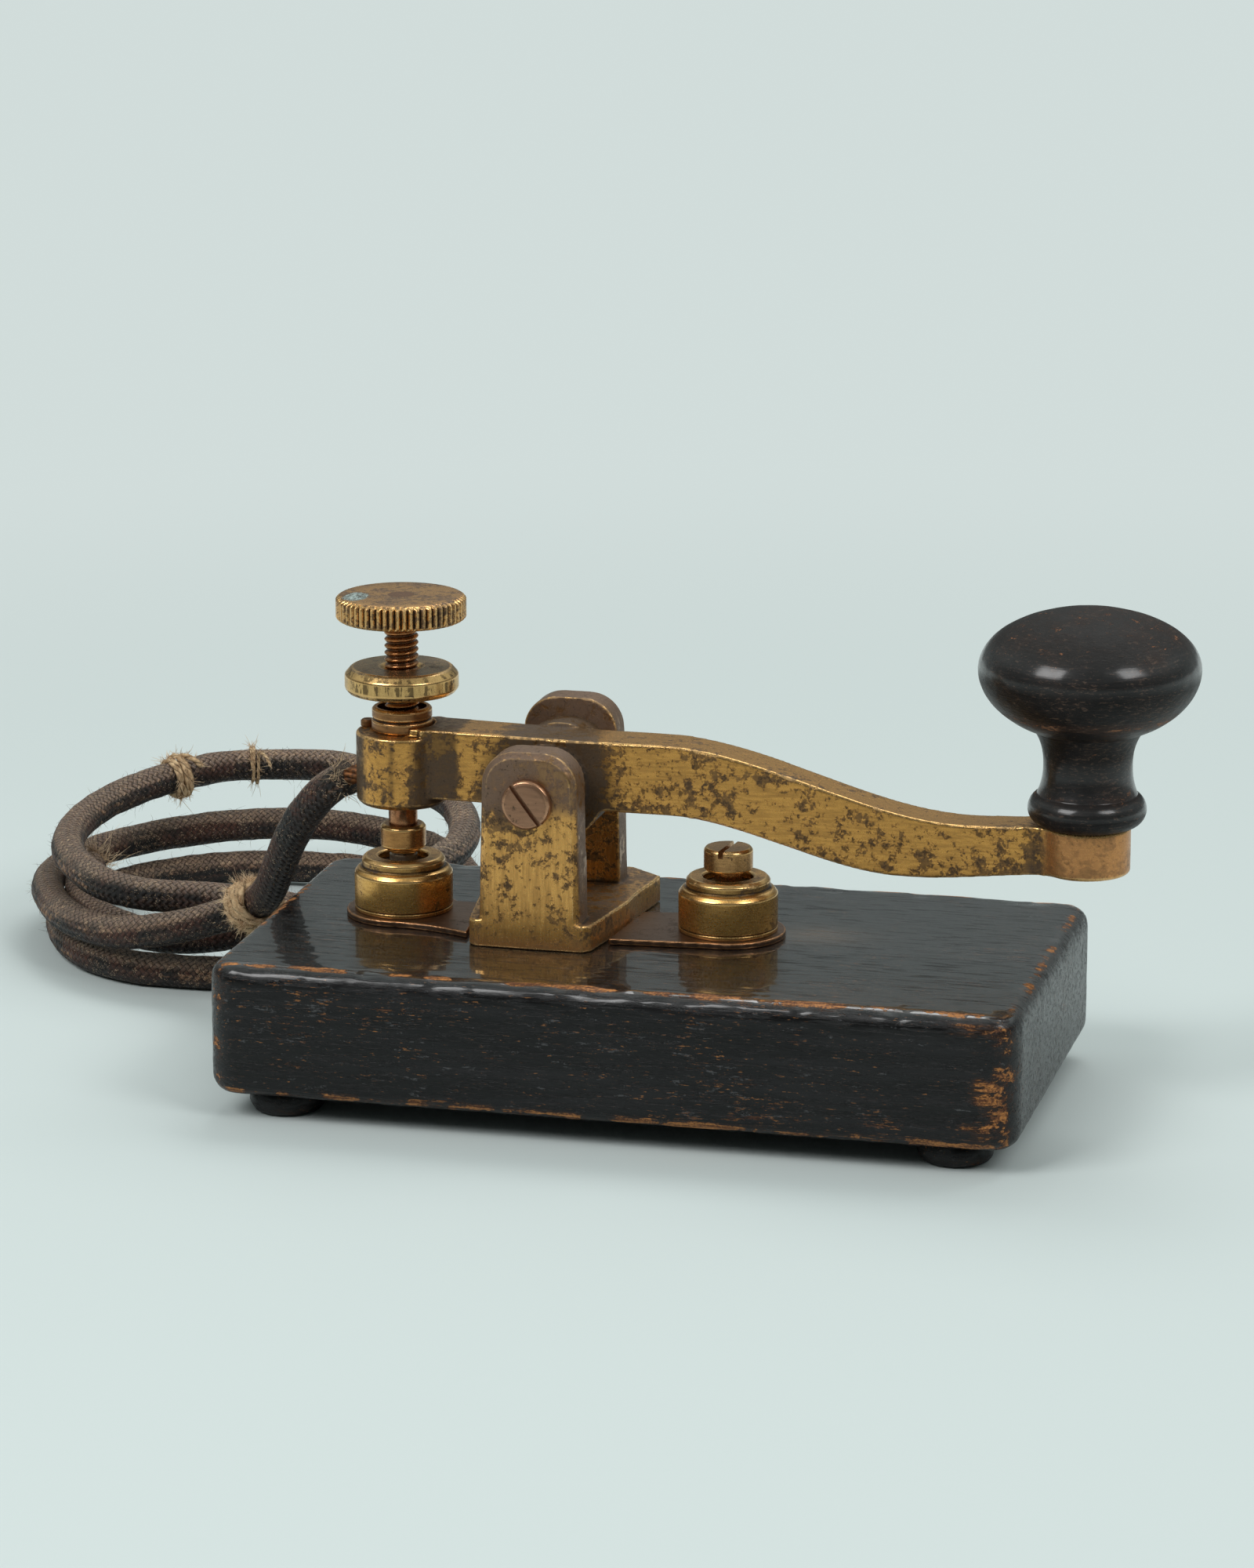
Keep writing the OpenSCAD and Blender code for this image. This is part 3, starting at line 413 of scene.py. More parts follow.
class Finish(Net):
    """One material while it is built."""

    def __init__(self, name, slot):
        self.material = bpy.data.materials.new(name)
        self.material.use_nodes = True
        super().__init__(self.material.node_tree)
        self.shader = self.tree.nodes["Principled BSDF"]
        self.slot = slot
        self.mm = self.vector("MULTIPLY", self.node("ShaderNodeTexCoord", out="Object"), [1 / MM] * 3)

    def stretched(self, x, y, z, where=None):
        return self.vector("MULTIPLY", where or self.mm, (x, y, z))

    def cloud(self, size, detail=4.0, rough=0.55, warp=0.0, where=None):
        """Soft noise from 0 to 1 whose lumps are about size millimetres."""
        sockets = {"Vector": where or self.mm, "Scale": 1 / size}
        sockets |= {"Detail": detail, "Roughness": rough, "Distortion": warp}
        return self.node("ShaderNodeTexNoise", values=sockets)

    def round_and_along(self):
        """How far round and how far along a tube a place is, from its UV map."""
        place = self.node("ShaderNodeUVMap", {"uv_map": "round_and_along"})
        return place.part("X"), place.part("Y")

    def upward(self):
        """How far a face looks up: 1 up, 0 sideways and -1 down."""
        return self.node("ShaderNodeNewGeometry", out="Normal").part("Z")

    def kept(self, name):
        """A number that was kept on the mesh with mark()."""
        return self.node("ShaderNodeAttribute", {"attribute_name": name}, out="Fac")

    def mix(self, mask, first, second):
        """Two colours, each a wire or red, green and blue from 0 to 255, mixed by a mask."""
        first, second = (c if isinstance(c, Wire) or len(c) > 3 else paint(*c) for c in (first, second))
        return self.node("ShaderNodeMix", {"data_type": "RGBA"}, {0: mask, 6: first, 7: second}, out=2)

    def layered(self, colour, *layers):
        """Lays colours over a first one, each as far as its mask says."""
        for mask, over in layers:
            colour = self.mix(mask, colour, over)
        return colour

    def bump(self, height, depth):
        """A normal for a height from 0 to 1 that is depth millimetres deep."""
        return self.node("ShaderNodeBump", values={"Strength": 1.0, "Distance": depth * MM, "Height": height})

    def give(self, **sockets):
        """Feeds the shader: names are its sockets, with _ for a blank."""
        self.feed(self.shader, {name.replace("_", " "): value for name, value in sockets.items()})
        return self

    def on(self, *pieces):
        """Puts the finish on pieces."""
        for piece in pieces:
            piece.data.materials.clear()
            piece.data.materials.append(self.material)
        return self


def paint(*rgb):
    """A colour from the 0 to 255 values that a screen would show."""
    linear = [c / 255 / 12.92 if c < 10.3 else ((c / 255 + 0.055) / 1.055) ** 2.4 for c in rgb]
    return (*linear, 1.0)

# %% Ground and sky
ground = Finish("pale_ground", None)
away = ground.vector("LENGTH", ground.mm, out="Value")
depth = ground.mm.part("Y")
seen, glossy = (ground.node("ShaderNodeLightPath", out=f"Is {ray} Ray") for ray in ("Camera", "Glossy"))
mirrored = glossy * depth.between(100, 300)
# Painted dark reflection: seen in reflections, the floor in front is darker than it is.
in_front = glossy * depth.between(-50, -190)
floor_colour = ground.mix(in_front * 0.3, FLOOR_COLOUR, (40, 42, 42))
ground.give(Base_Color=floor_colour, Roughness=0.9, Specular_IOR_Level=0.1)
glow = ground.node("ShaderNodeEmission", values={"Color": GROUND_SEEN, "Strength": 1.0})
far_away = away.between(230, 620) * seen.do("MAXIMUM", mirrored)
lit = Wire(ground, ground.shader.outputs[0])
both = ground.node("ShaderNodeMixShader", values={0: far_away, 1: lit, 2: glow})
ground.feed(ground.tree.nodes["Material Output"], {"Surface": both})
floor.data.materials.append(ground.material)

world = bpy.data.worlds.new("studio")
bpy.context.scene.world = world
world.use_nodes = True
air = Net(world.node_tree)
way = air.node("ShaderNodeTexCoord", out="Generated")
front_to_back = way.part("Y").between(-0.55, 0.45, 0.3, 0.82)
low_to_high = way.part("Z").between(0.24, 0.62, 0.32, 1.08)
seen = air.node("ShaderNodeLightPath", out="Is Camera Ray")
level = air.node("ShaderNodeMix", values={0: seen, 2: front_to_back * low_to_high, 3: 1.0})
air.feed(air.tree.nodes["Background"], {"Color": GROUND_SEEN, "Strength": level})
print("ground colour", [round(c, 2) for c in GROUND_SEEN[:3]])

# %% [markdown]
# ## The braided cord
# The cord is a tube swept along its route, a mesh and not a curve. The braid itself is far finer
# than the rings, so it is drawn by the finish from the UV map, as two sets of strands that wind
# opposite ways and pass over and under each other in turn. The cotton is old: dark brown and grey,
# with tan and reddish strands here and there. Its top is dusty and also painted lighter where light
# falls, and its underside and the grooves between the strands are painted shade.

# %% Braid
CORD_SIDES = 22


def braid_finish(name, slot, dark, brown, tan, turns):
    f = Finish(name, slot)
    wrap, along = f.round_and_along()
    left, right = wrap * turns + along * turns, wrap * turns - along * turns
    over = (left.do("FLOOR") + right.do("FLOOR")).do("MODULO", 2.0).do("ABSOLUTE")
    one, two = ((way.do("FRACT") * math.pi).do("SINE") for way in (left, right))
    height = one * over + two * (1 - over)
    number = left.do("FLOOR") * over + right.do("FLOOR") * (1 - over) + over * 37.0
    strand = f.node("ShaderNodeTexWhiteNoise", {"noise_dimensions": "1D"}, {"W": number})
    stain = f.cloud(8, 5, 0.6, 0.4)
    fleck = f.cloud(1.9, 5, 0.68, 0.3)
    threads = f.cloud(0.3, 3, 0.65)
    angle = wrap * (2 * math.pi)
    x, y = (angle.do(way) * 1.3 for way in ("COSINE", "SINE"))
    rod = f.node("ShaderNodeCombineXYZ", values={"X": x, "Y": y, "Z": along * 0.8})
    streak = f.cloud(1, 6, 0.66, where=rod)
    upward = f.upward()
    dust_and_top_light = (upward + streak * 1.8).between(1.05, 1.75)
    tanned = (streak * 0.85 + fleck * 0.35 + strand * 0.1).between(0.69, 0.81)
    broken = (threads + strand * 0.14 + dust_and_top_light * 0.05).between(0.68, 0.76)
    colour = f.layered(
        dark,
        ((streak * 0.6 + stain * 0.55).between(0.53, 0.66), brown),
        (f.cloud(13, 4, 0.6).between(0.46, 0.58) * 0.75, (98, 58, 43)),
        (tanned * 0.9, tan),
        # Dust on top, which is also painted light on the upward side of the cord.
        (dust_and_top_light * 0.66, (174, 148, 128)),
        # Painted shade: the underside of the cord is painted darker.
        (upward.between(0.15, -0.75) * 0.85, (15, 10, 8)),
        # Painted shade: the grooves between the strands are painted darker.
        (height.between(0.7, 0.15) * 0.75, (18, 14, 12)),
        (broken * 0.75, (222, 192, 156)),
    )
    relief = f.bump(height * 0.8 + threads * 0.6 + fleck * 1.3, 1.0)
    return f.give(Base_Color=colour, Roughness=fleck * 0.3 + 0.4, Specular_IOR_Level=0.5, Normal=relief)


# how far along a fibre its points are, and how thick it is there
JOINTS, TAPER = (0, 0.35, 0.7, 1), (1, 0.8, 0.6, 0.25)


def fibres(name, places, ways, lengths, thick, seed):
    """Fine curled fibres that stand out of places along ways."""
    rng = np.random.default_rng(seed)
    paths = []
    for place, way, length in zip(places, ways, lengths):
        sway = rng.normal(size=3) * 0.9
        reach = [way * t + sway * t * t * 0.6 + rng.normal(size=3) * 0.05 for t in JOINTS]
        paths.append(place + np.array(reach) * length)
    return add_tubes(name, paths, [np.array(TAPER) * thick] * len(paths), sides=3)


cord = add_tubes("cord", [cord_route], [CORD_D / 2 * MM], CORD_SIDES)
rough = points_of(cord)
outward = rough - np.repeat(cord_route, CORD_SIDES, axis=0)
swell = 0.035 * lumps(rough, 2.2 * MM, 3) + 0.03 * lumps(rough, 7 * MM, 4)
move_points(cord, rough + outward * swell[:, None])
braid = braid_finish("old_cotton_braid", "braided_cloth", (26, 22, 21), (88, 60, 47), (188, 142, 106), turns=14)
braid.on(cord)

FUZZ, FUZZ_FROM = 2600, 1.6 * MM
FINE_FIBRE, STRING_FIBRE = 0.035 * MM, 0.07 * MM
rng = np.random.default_rng(11)
picked = rng.integers(4, len(cord_route) - 2, FUZZ)
around = rng.uniform(0, 2 * np.pi, FUZZ)[:, None]
cord_ways = np.gradient(cord_route, axis=0)
cord_ways /= np.linalg.norm(cord_ways, axis=1)[:, None]
side = np.cross(cord_ways[picked], (0.3, 0.2, 1.0))
side /= np.linalg.norm(side, axis=1)[:, None]
out_ways = np.cos(around) * side + np.sin(around) * np.cross(cord_ways[picked], side)
fuzz_places = cord_route[picked] + out_ways * CORD_D / 2 * MM * 0.97
fuzz_ways = out_ways * 0.55 + cord_ways[picked] * rng.choice([-1, 1], FUZZ)[:, None] * 0.8
high_enough = fuzz_places[:, 2] > FUZZ_FROM
fuzz_lengths = rng.uniform(0.5, 1.7, high_enough.sum()) * MM
fuzz = fibres("cord_fuzz", fuzz_places[high_enough], fuzz_ways[high_enough], fuzz_lengths, FINE_FIBRE, seed=12)
print("cord faces", len(cord.data.polygons), "fuzz fibres", int(high_enough.sum()))

# %% [markdown]
# ## What holds the cord and what shows at its ends
# Brown string is wound round the lead where it joins the coil, and twice round the upper
# strand. At the boss the braid is frayed, and the conductor comes out as a bundle of thin
# copper wires, brown with age. At the far end the cord is simply cut, and its threads spread.

# %% Ties, conductor and frayed ends
STEPS_A_TURN = 14
STRAIGHT_UP = (0, 0, 1.0)


def wound_string(place, turns, width, thick, seed):
    """String wound round the cord, each turn a little out of line, with a loose end."""
    nearest = int(np.argmin(np.linalg.norm(cord_route - np.array(place), axis=1)))
    way, base = cord_ways[nearest], cord_route[nearest]
    side, up = across(way, STRAIGHT_UP)
    path = []
    for k in range(int(turns * STEPS_A_TURN) + 1):
        a = 2 * np.pi * k / STEPS_A_TURN
        drift = (k / (turns * STEPS_A_TURN) - 0.5) * width + 0.25 * MM * math.sin(a * 0.37 + seed)
        lift = 0.75 + 0.35 * math.sin(a * 1.7 + seed) + 0.5 * (k > turns * STEPS_A_TURN / 2)
        reach = CORD_D / 2 * MM + thick * lift
        path.append(base + way * drift + reach * (math.cos(a) * side + math.sin(a) * up))
    droop = [side * 1.1 * t + up * (0.5 * t - 0.35 * t * t) + way * 0.4 * t for t in (0.4, 0.9, 1.5, 2.1)]
    return np.array(path + [path[-1] + d * 2.6 * MM for d in droop])


string_paths, string_radii, fuzz_at, fuzz_to = [], [], [], []
# place, turns, width, thickness in metres and number of loose fibres
TIES = [
    (at(-88.2, 30.2, 20.8), 6, 5.6 * MM, 0.95 * MM, 2400),
    (at(-131, 110.5, 24.1), 3.3, 2.9 * MM, 0.7 * MM, 520),
    (at(-116.9, 120.5, 25.1), 2.2, 1.2 * MM, 0.42 * MM, 160),
]
for number, (place, turns, width, thick, loose) in enumerate(TIES):
    path = wound_string(place, turns, width, thick, number + 1)
    string_paths.append(path)
    string_radii.append(thick * 0.8)
    middle = path.mean(axis=0)
    for _ in range(loose):
        start = path[rng.integers(0, len(path))]
        fuzz_at.append(start)
        outward = start - middle
        fuzz_to.append(outward / max(np.linalg.norm(outward), 1e-6) + rng.normal(size=3) * 0.5)
ties = add_tubes("string_ties", string_paths, string_radii, sides=8)
tie_lengths = rng.uniform(0.3, 1.4, len(fuzz_at)) * MM
tie_fuzz = fibres("string_tie_fuzz", np.array(fuzz_at), np.array(fuzz_to), tie_lengths, STRING_FIBRE, seed=21)


def twisted_wires(route, count, bundle, twist):
    """The paths of thin wires that wind round a route, and the route as the last of them."""
    rings, steps = rings_along(route, bundle, count), np.arange(len(route))
    paths = []
    for k in range(count):
        turn = (k / count + steps * twist) % 1 * count
        near = turn.astype(int)
        share = (turn - near)[:, None]
        spots = rings[steps, near % count] * (1 - share) + rings[steps, (near + 1) % count] * share - route
        paths.append(route + spots / np.linalg.norm(spots, axis=1)[:, None] * bundle)
    return paths + [route]


in_boss = [at(-53.4, 1.5, 56), at(-55.6, 1.5, 56)]
core_places = in_boss + [BOSS_FACE, at(-58.6, 1.6, 55.7), at(-59.9, 1.8, 55), at(-62, 2.2, 53.9)]
core_wires = twisted_wires(smooth_line(core_places, 0.3 * MM), count=7, bundle=1.15 * MM, twist=0.02)
core = add_tubes("conductor", core_wires, [0.58 * MM] * len(core_wires), sides=8)

frayed_at, frayed_to, frayed_long = [], [], []
# where the cord ends, which way it points there, and the number and greatest length of the threads
ENDS = [(cord_route[-1], cord_ways[-1], 260, 4.2), (cord_route[2], -cord_ways[0], 150, 3.0)]
for start, way, count, long in ENDS:
    side, up = across(way, (0.1, 0, 1.0))
    for _ in range(count):
        a, r = rng.uniform(0, 2 * np.pi), CORD_D / 2 * MM * math.sqrt(rng.uniform(0.35, 1))
        lean = math.cos(a) * side + math.sin(a) * up
        frayed_at.append(start + lean * r * 0.95)
        frayed_to.append(way * rng.uniform(0.4, 1) + lean * rng.uniform(0.1, 0.9))
        frayed_long.append(rng.uniform(0.4, 1) * long * MM)
frayed = fibres(
    "frayed_ends", np.array(frayed_at), np.array(frayed_to), np.array(frayed_long), STRING_FIBRE, seed=31,
)
print("string turns", sum(t[1] for t in TIES), "fibres", len(frayed_at) + len(fuzz_at))

# %% Finishes of string, copper wire and loose fibres
def string_finish(name, slot, light, dark):
    f = Finish(name, slot)
    ply, along = f.round_and_along()
    twist = ((ply * 2 + along * 1.4).do("FRACT") * math.pi).do("SINE")
    stain = f.cloud(1.6, 4, 0.6).between(0.35, 0.7)
    # Painted shade: the grooves between the plies are painted darker.
    colour = f.layered(light, (stain, dark), (twist.between(0.5, 0.0) * 0.7, (52, 38, 26)))
    return f.give(Base_Color=colour, Roughness=0.9, Specular_IOR_Level=0.2, Normal=f.bump(twist, 0.2))


def wire_finish(name, slot):
    f = Finish(name, slot)
    age = f.cloud(0.9, 4, 0.6)
    return f.give(
        Base_Color=f.mix(age.between(0.35, 0.65), (156, 102, 60), (80, 54, 36)),
        Roughness=age * 0.25 + 0.45, Metallic=0.6 - age.between(0.5, 0.75) * 0.5, Normal=f.bump(age, 0.08),
    )


def fibre_finish(name, slot, first, second, size, low, high, roughness):
    f = Finish(name, slot)
    return f.give(Base_Color=f.mix(f.cloud(size, 3).between(low, high), first, second), Roughness=roughness)


string_finish("tan_string", "tan_string", (218, 188, 148), (150, 116, 84)).on(ties)
fibre_finish(
    "loose_fibre", "tan_string", (234, 206, 168), (152, 120, 90), size=5, low=0.4, high=0.7, roughness=0.85,
).on(tie_fuzz, frayed)
fibre_finish(
    "cord_fibre", "braided_cloth", (58, 48, 42), (150, 122, 92), size=6, low=0.4, high=0.62, roughness=0.88,
).on(fuzz)
wire_finish("browned_wire", "bare_conductor").on(core)

for piece in (cord, fuzz, frayed):
    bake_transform(piece)
for piece in (ties, tie_fuzz):
    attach(piece, "root")
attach(core, "lever")
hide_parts("cord_lead", "cord_coil")
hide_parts("cord_tie")
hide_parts("lead_core")

# %% [markdown]
# ## Turned parts
# Most of the pieces came off a lathe, so each is an outline spun round an axis. A real turned
# edge is never perfectly sharp: every corner of the outline is broken by a small curve, which
# is what catches the light. The points on such outer corners get the number 1 under the name
# "edge", so that a finish can show the bright metal where the tarnish is rubbed off and paint a
# highlight along the edge, and inner corners get "hollow", where dirt stays. Radii and heights
# are in millimetres.

# %% Lathe
SIDES = 128


def eased(outline, radius, steps=4):
    """The outline with its corners rounded, and how much each point is an outer or inner corner."""
    p = np.array(outline, float)
    line = [(p[0], 0.0)]
    for before, corner, after in zip(p, p[1:], p[2:]):
        to_before, to_after = before - corner, after - corner
        a, b = np.linalg.norm(to_before), np.linalg.norm(to_after)
        r = min(radius, 0.4 * a, 0.4 * b)
        start, end = corner + to_before / a * r, corner + to_after / b * r
        bend = (to_before[1] * to_after[0] - to_before[0] * to_after[1]) / (a * b)
        if a > 4 * r:
            line.append((start + to_before / a * r, 0.0))
        for t in np.linspace(0, 1, steps + 1):
            line.append(((1 - t) ** 2 * start + 2 * t * (1 - t) * corner + t * t * end, bend))
        if b > 4 * r:
            line.append((end + to_after / b * r, 0.0))
    return line + [(p[-1], 0.0)]


def ring_at(r, z, sides):
    """A ring of points round the Z axis, or one point where the radius is nothing."""
    angles = np.arange(sides) * 2 * np.pi / sides
    return [(0, 0, z)] if r < 1e-6 else [(r * math.cos(a), r * math.sin(a), z) for a in angles]


def joined(rings, looped=False):
    """The points of rings that follow each other, and the faces between them."""
    ends = np.cumsum([0] + [len(ring) for ring in rings])
    rows = [range(a, b) for a, b in zip(ends, ends[1:])]
    rows += rows[:1] * looped
    sides, faces = max(len(row) for row in rows), []
    for low, high in zip(rows, rows[1:]):
        for k in range(sides):
            n = (k + 1) % sides
            quad = [low[k % len(low)], low[n % len(low)], high[n % len(high)], high[k % len(high)]]
            face = tuple(dict.fromkeys(quad))
            if len(face) > 2:
                faces.append(face)
    return np.array([point for ring in rings for point in ring], float) * MM, faces


def turned(name, outline, foot, ease=0.25, sides=SIDES, wobble=0.0, tilt=None):
    """A closed solid of revolution whose outline runs from its axis at the bottom to its axis at the top."""
    line = eased(outline, ease)
    looped = outline[0] == outline[-1]
    if looped:
        line.pop()
    rings = [ring_at(*place, sides) for place, _ in line]
    marks = np.repeat([bend for _, bend in line], [len(ring) for ring in rings])
    points, faces = joined(rings, looped)
    if tilt:
        points = points @ np.array(tilt.to_3x3()).T
    points += np.array(foot)
    if wobble:
        points += lumps(points, 5 * MM, len(points))[:, None] * wobble * MM * np.array((1, 1, 0.4))
    piece = add_mesh(name, points, faces)
    mark(piece, edge=np.clip(marks, 0, 1), hollow=np.clip(-marks, 0, 1))
    return piece


def with_modifier(piece, kind, **settings):
    """Gives a piece the mesh that a modifier makes of it."""
    modifier = piece.modifiers.new(kind.lower(), kind)
    for name, value in settings.items():
        setattr(modifier, name, value)
    made = bpy.data.meshes.new_from_object(piece.evaluated_get(bpy.context.evaluated_depsgraph_get()))
    piece.modifiers.clear()
    piece.data = made
    return made


def cut_slot(piece, centre, way, width, depth, length=12 * MM, up=Vector((0, 0, 1))):
    """Cuts a screwdriver slot across a head. The length only has to reach past the head."""
    side = up.cross(way).normalized()
    corners = [
        centre + way * (s * length / 2) + side * (t * width / 2) + up * u
        for u in (-depth, depth) for s, t in ((-1, -1), (1, -1), (1, 1), (-1, 1))
    ]
    box = [(3, 2, 1, 0), (4, 5, 6, 7), (0, 1, 5, 4), (1, 2, 6, 5), (2, 3, 7, 6), (3, 0, 4, 7)]
    cutter = add_mesh("cutter", corners, box)
    with_modifier(piece, "BOOLEAN", object=cutter, operation="DIFFERENCE", solver="EXACT")
    bpy.data.objects.remove(cutter)
    sharpen(piece, 40)


square = [(0, 0), (5, 0), (5, 5), (0, 5)]
print("a square with eased corners has", len(eased(square, 0.25)), "outline points")

# %% [markdown]
# ## Anvils, contacts and the parts on the spindle
# The outlines repeat those of the CAD solids, corner by corner. The anvils are stepped: a drum
# with a thin foot line, a sloping shoulder, and a ring with a well in its top. The rear well
# holds a hard contact stud; the front one takes a slotted contact screw.

# %% Anvils and contacts
rear_axis, front_axis = foot_of("rear_anvil"), foot_of("front_anvil")
REAR = Vector((rear_axis.x, rear_axis.y, 0))
FRONT = Vector((front_axis.x, front_axis.y, 0))
STUD_END = (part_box("rear_anvil")[0].z - BASE_TOP) / MM


def stepped_anvil(name, axis, hole, depth):
    """An anvil with a round hole in its top, both in millimetres."""
    outline = [
        (0, STUD_END), (2.4, STUD_END), (3, STUD_END + 0.6), (3, 1.2), (9.2, 1.2), (9.2, 1.9), (9.05, 2.0),
        (9.05, 2.15), (9.2, 2.25), (9.2, 8.3), (8.6, 9.1), (8.1, 9.3), (7.8, 9.6), (7.8, 10.8), (7.2, 11.4),
        (4.9, 11.4), (4.6, 11.1), (4.6, 9.6), (hole, 9.6), (hole, 11.4 - depth), (0, 11.4 - depth),
    ]
    return turned(name, outline, axis + Vector((0, 0, BASE_TOP)), ease=0.22)


rear_anvil = stepped_anvil("rear_anvil_turned", REAR, hole=1.6, depth=5)
front_anvil = stepped_anvil("front_anvil_turned", FRONT, hole=2.55, depth=8.9)
TIP_LINE = [
    (0, 0), (2.6, 0), (3, 0.4), (3, 0.9), (3.85, 0.9), (4.25, 1.3), (4.25, 5.0), (3.75, 5.5), (1.85, 5.5),
    (1.85, 2.5), (0, 2.5),
]
COLLAR_LINE = [
    (3.25, 0), (5.4, 0), (5.7, 0.3), (5.7, 2.0), (5.25, 2.3), (5.6, 2.7), (5.6, 4.2), (5.2, 4.6), (4.6, 4.6),
    (4.4, 2.6), (3.25, 2.4), (3.25, 0),
]
DISC_LINE = [
    (3.25, 0.6), (3.85, 0), (9.9, 0), (10.6, 0.9), (10.6, 3.4), (9.6, 4.55), (9.2, 4.8), (4.05, 4.8),
    (3.25, 4.0), (3.25, 0.6),
]
contact_tip = turned("contact_tip_turned", TIP_LINE, foot_of("contact_tip"), ease=0.2, sides=96)
collar = turned("boss_collar_turned", COLLAR_LINE, foot_of("boss_collar"), ease=0.16, sides=112)
lock_disc = turned("lock_disc_turned", DISC_LINE, foot_of("lock_disc"), sides=144)
SCREW_TOP, SCREW_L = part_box("front_contact_screw")[1].z, 13.1
SCREW_LINE = [
    (0, 0), (2.1, 0), (2.5, 0.4), (2.5, 8.8), (4.25, 8.8), (4.55, 9.1), (4.55, 12.6), (4.15, SCREW_L),
    (0, SCREW_L),
]
screw_foot = Vector((FRONT.x, FRONT.y, SCREW_TOP - SCREW_L * MM))
contact_screw = turned("front_contact_screw_turned", SCREW_LINE, screw_foot, ease=0.18, sides=96, wobble=0.015)
slot_turn = math.radians(84)
slot_way = Vector((math.cos(slot_turn), math.sin(slot_turn), 0))
screw_face = Vector((FRONT.x, FRONT.y, SCREW_TOP))
cut_slot(contact_screw, screw_face, slot_way, width=0.95 * MM, depth=1.3 * MM)
print("front screw from", round(SCREW_TOP / MM - SCREW_L, 2), "to", round(SCREW_TOP / MM, 2), "mm")

# %% [markdown]
# ## Thread and knurl
# The adjusting thread shows its coarse, rounded turns between the discs, and its shine lies on
# the crests, so it is a real helix: each ring of points is pushed in and out by how far round
# and how high it is. The thumb head has about sixty straight ridges. They are raised on the
# same kind of grid: the rim's points go out and in with the angle, and the chamfers above and
# below run the ridges out.

# %% Spindle
PITCH, THREAD_DEPTH, THREAD_FROM = 1.27, 0.5, 19.0
ROWS_A_TURN, THREAD_SIDES = 9, 56
spindle_foot = foot_of("adjusting_spindle")
HEAD_UNDER = (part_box("thumb_head")[0].z - spindle_foot.z) / MM
SPINDLE_END = (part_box("adjusting_spindle")[1].z - spindle_foot.z) / MM


def ridged(name, foot, rows, sides, form, sharp, looped=False):
    """A round mesh from rows of radius, height and how deep the ridges are there.

    form takes a depth, a height and a share of a turn. It gives how far the point moves in, and
    its marks edge and hollow.
    """
    rings, marks = [], []
    for r, z, deep in rows:
        rings.append([])
        for k in range(sides if r else 1):
            a = 2 * math.pi * k / sides
            inward, *marked = form(deep, z, k / sides)
            rings[-1].append(((r - inward) * math.cos(a), (r - inward) * math.sin(a), z))
            marks.append(marked)
    points, faces = joined(rings, looped)
    piece = add_mesh(name, points + np.array(foot), faces)
    edge, hollow = np.array(marks, float).T
    mark(piece, edge=edge, hollow=hollow)
    sharpen(piece, sharp)
    return piece


def thread(deep, z, turn):
    """A rounded helix with bright crests and dark grooves."""
    groove = abs(2 * ((z / PITCH - turn) % 1) - 1)
    groove = groove * groove * (3 - 2 * groove)
    crest = (1 - groove) * deep
    edge, hollow = np.clip([(crest - 0.55) * 2.2, 0.75 - crest], 0, 1)
    return THREAD_DEPTH * groove * deep, edge, hollow * (crest > 0)


spindle_rows = [
    (0, 0, 0), (1.8, 0, 0), (1.8, 2.95, 0), (2.7, 2.95, 0), (2.7, 6.5, 0), (3.2, 7.0, 0),
    (3.2, THREAD_FROM - 0.1, 0),
]
spindle_rows += [(3.2, z, 1) for z in np.arange(THREAD_FROM, HEAD_UNDER - 0.5, PITCH / ROWS_A_TURN)]
spindle_rows += [
    (3.1, HEAD_UNDER - 0.4, 0), (3.1, HEAD_UNDER, 0), (2.4, HEAD_UNDER, 0), (2.4, SPINDLE_END, 0),
    (0, SPINDLE_END, 0),
]
spindle = ridged("spindle_threaded", spindle_foot, spindle_rows, THREAD_SIDES, thread, sharp=50)

# %% Thumb head
RIDGES, RIDGE_STEPS, RIDGE_DEPTH = 61, 12, 0.6
HEAD_ROWS = [
    (2.42, 0, 0), (8, 0, 0), (10.9, 0, 0), (11.35, 0.1, 0.1), (11.8, 0.35, 0.6), (12.1, 0.7, 1),
    (12.1, 1.5, 1), (12.1, 2.4, 1), (12.1, 3.2, 1), (12.1, 4.0, 1), (11.8, 4.35, 0.6), (11.35, 4.6, 0.1),
    (10.9, 4.7, 0), (8, 4.7, 0), (5, 4.7, 0), (2.42, 4.7, 0),
]


def knurl(deep, z, turn):
    """Straight ridges round a rim, bright on their tops and on the chamfers above and below."""
    wave = abs(2 * ((turn * RIDGES) % 1) - 1)
    edge = max(deep * max(0, wave * 1.6 - 0.7), 0.9 * (0.3 < deep < 0.9))
    return RIDGE_DEPTH * (1 - min(1, 1.6 * wave)) * deep, edge, deep * max(0, 1 - 2.4 * wave)


thumb_head = ridged(
    "thumb_head_knurled", foot_of("thumb_head"), HEAD_ROWS, RIDGES * RIDGE_STEPS, knurl, sharp=38, looped=True,
)
print("thumb head:", len(thumb_head.data.polygons), "faces; spindle:", len(spindle.data.polygons), "faces")

# %% [markdown]
# ## The knob, the feet and the pivot bolt
# The knob is the one large wooden turning: a bead and a narrow neck under a deep bowl with a
# flatter crown. Its outline is made of the same arcs as in the CAD source. Handling has made
# it a little uneven, which shows in its highlights, so the mesh is pushed in and out by very
# low, wide lumps. The four feet are small buns with knocks in their rims.

# %% Knob
KNOB_R, KNOB_H, WIDE_H, NECK_R, BEAD_R, BEAD_H = 20.1, 39.7, 29.0, 8.1, 10.8, 6.3
BOWL_STEPS, CROWN_STEPS = 32, 40


def arc(cx, cz, r, first, last, count):
    steps = np.radians(np.linspace(first, last, count + 1))
    return [(cx + r * math.cos(a), cz + r * math.sin(a)) for a in steps]


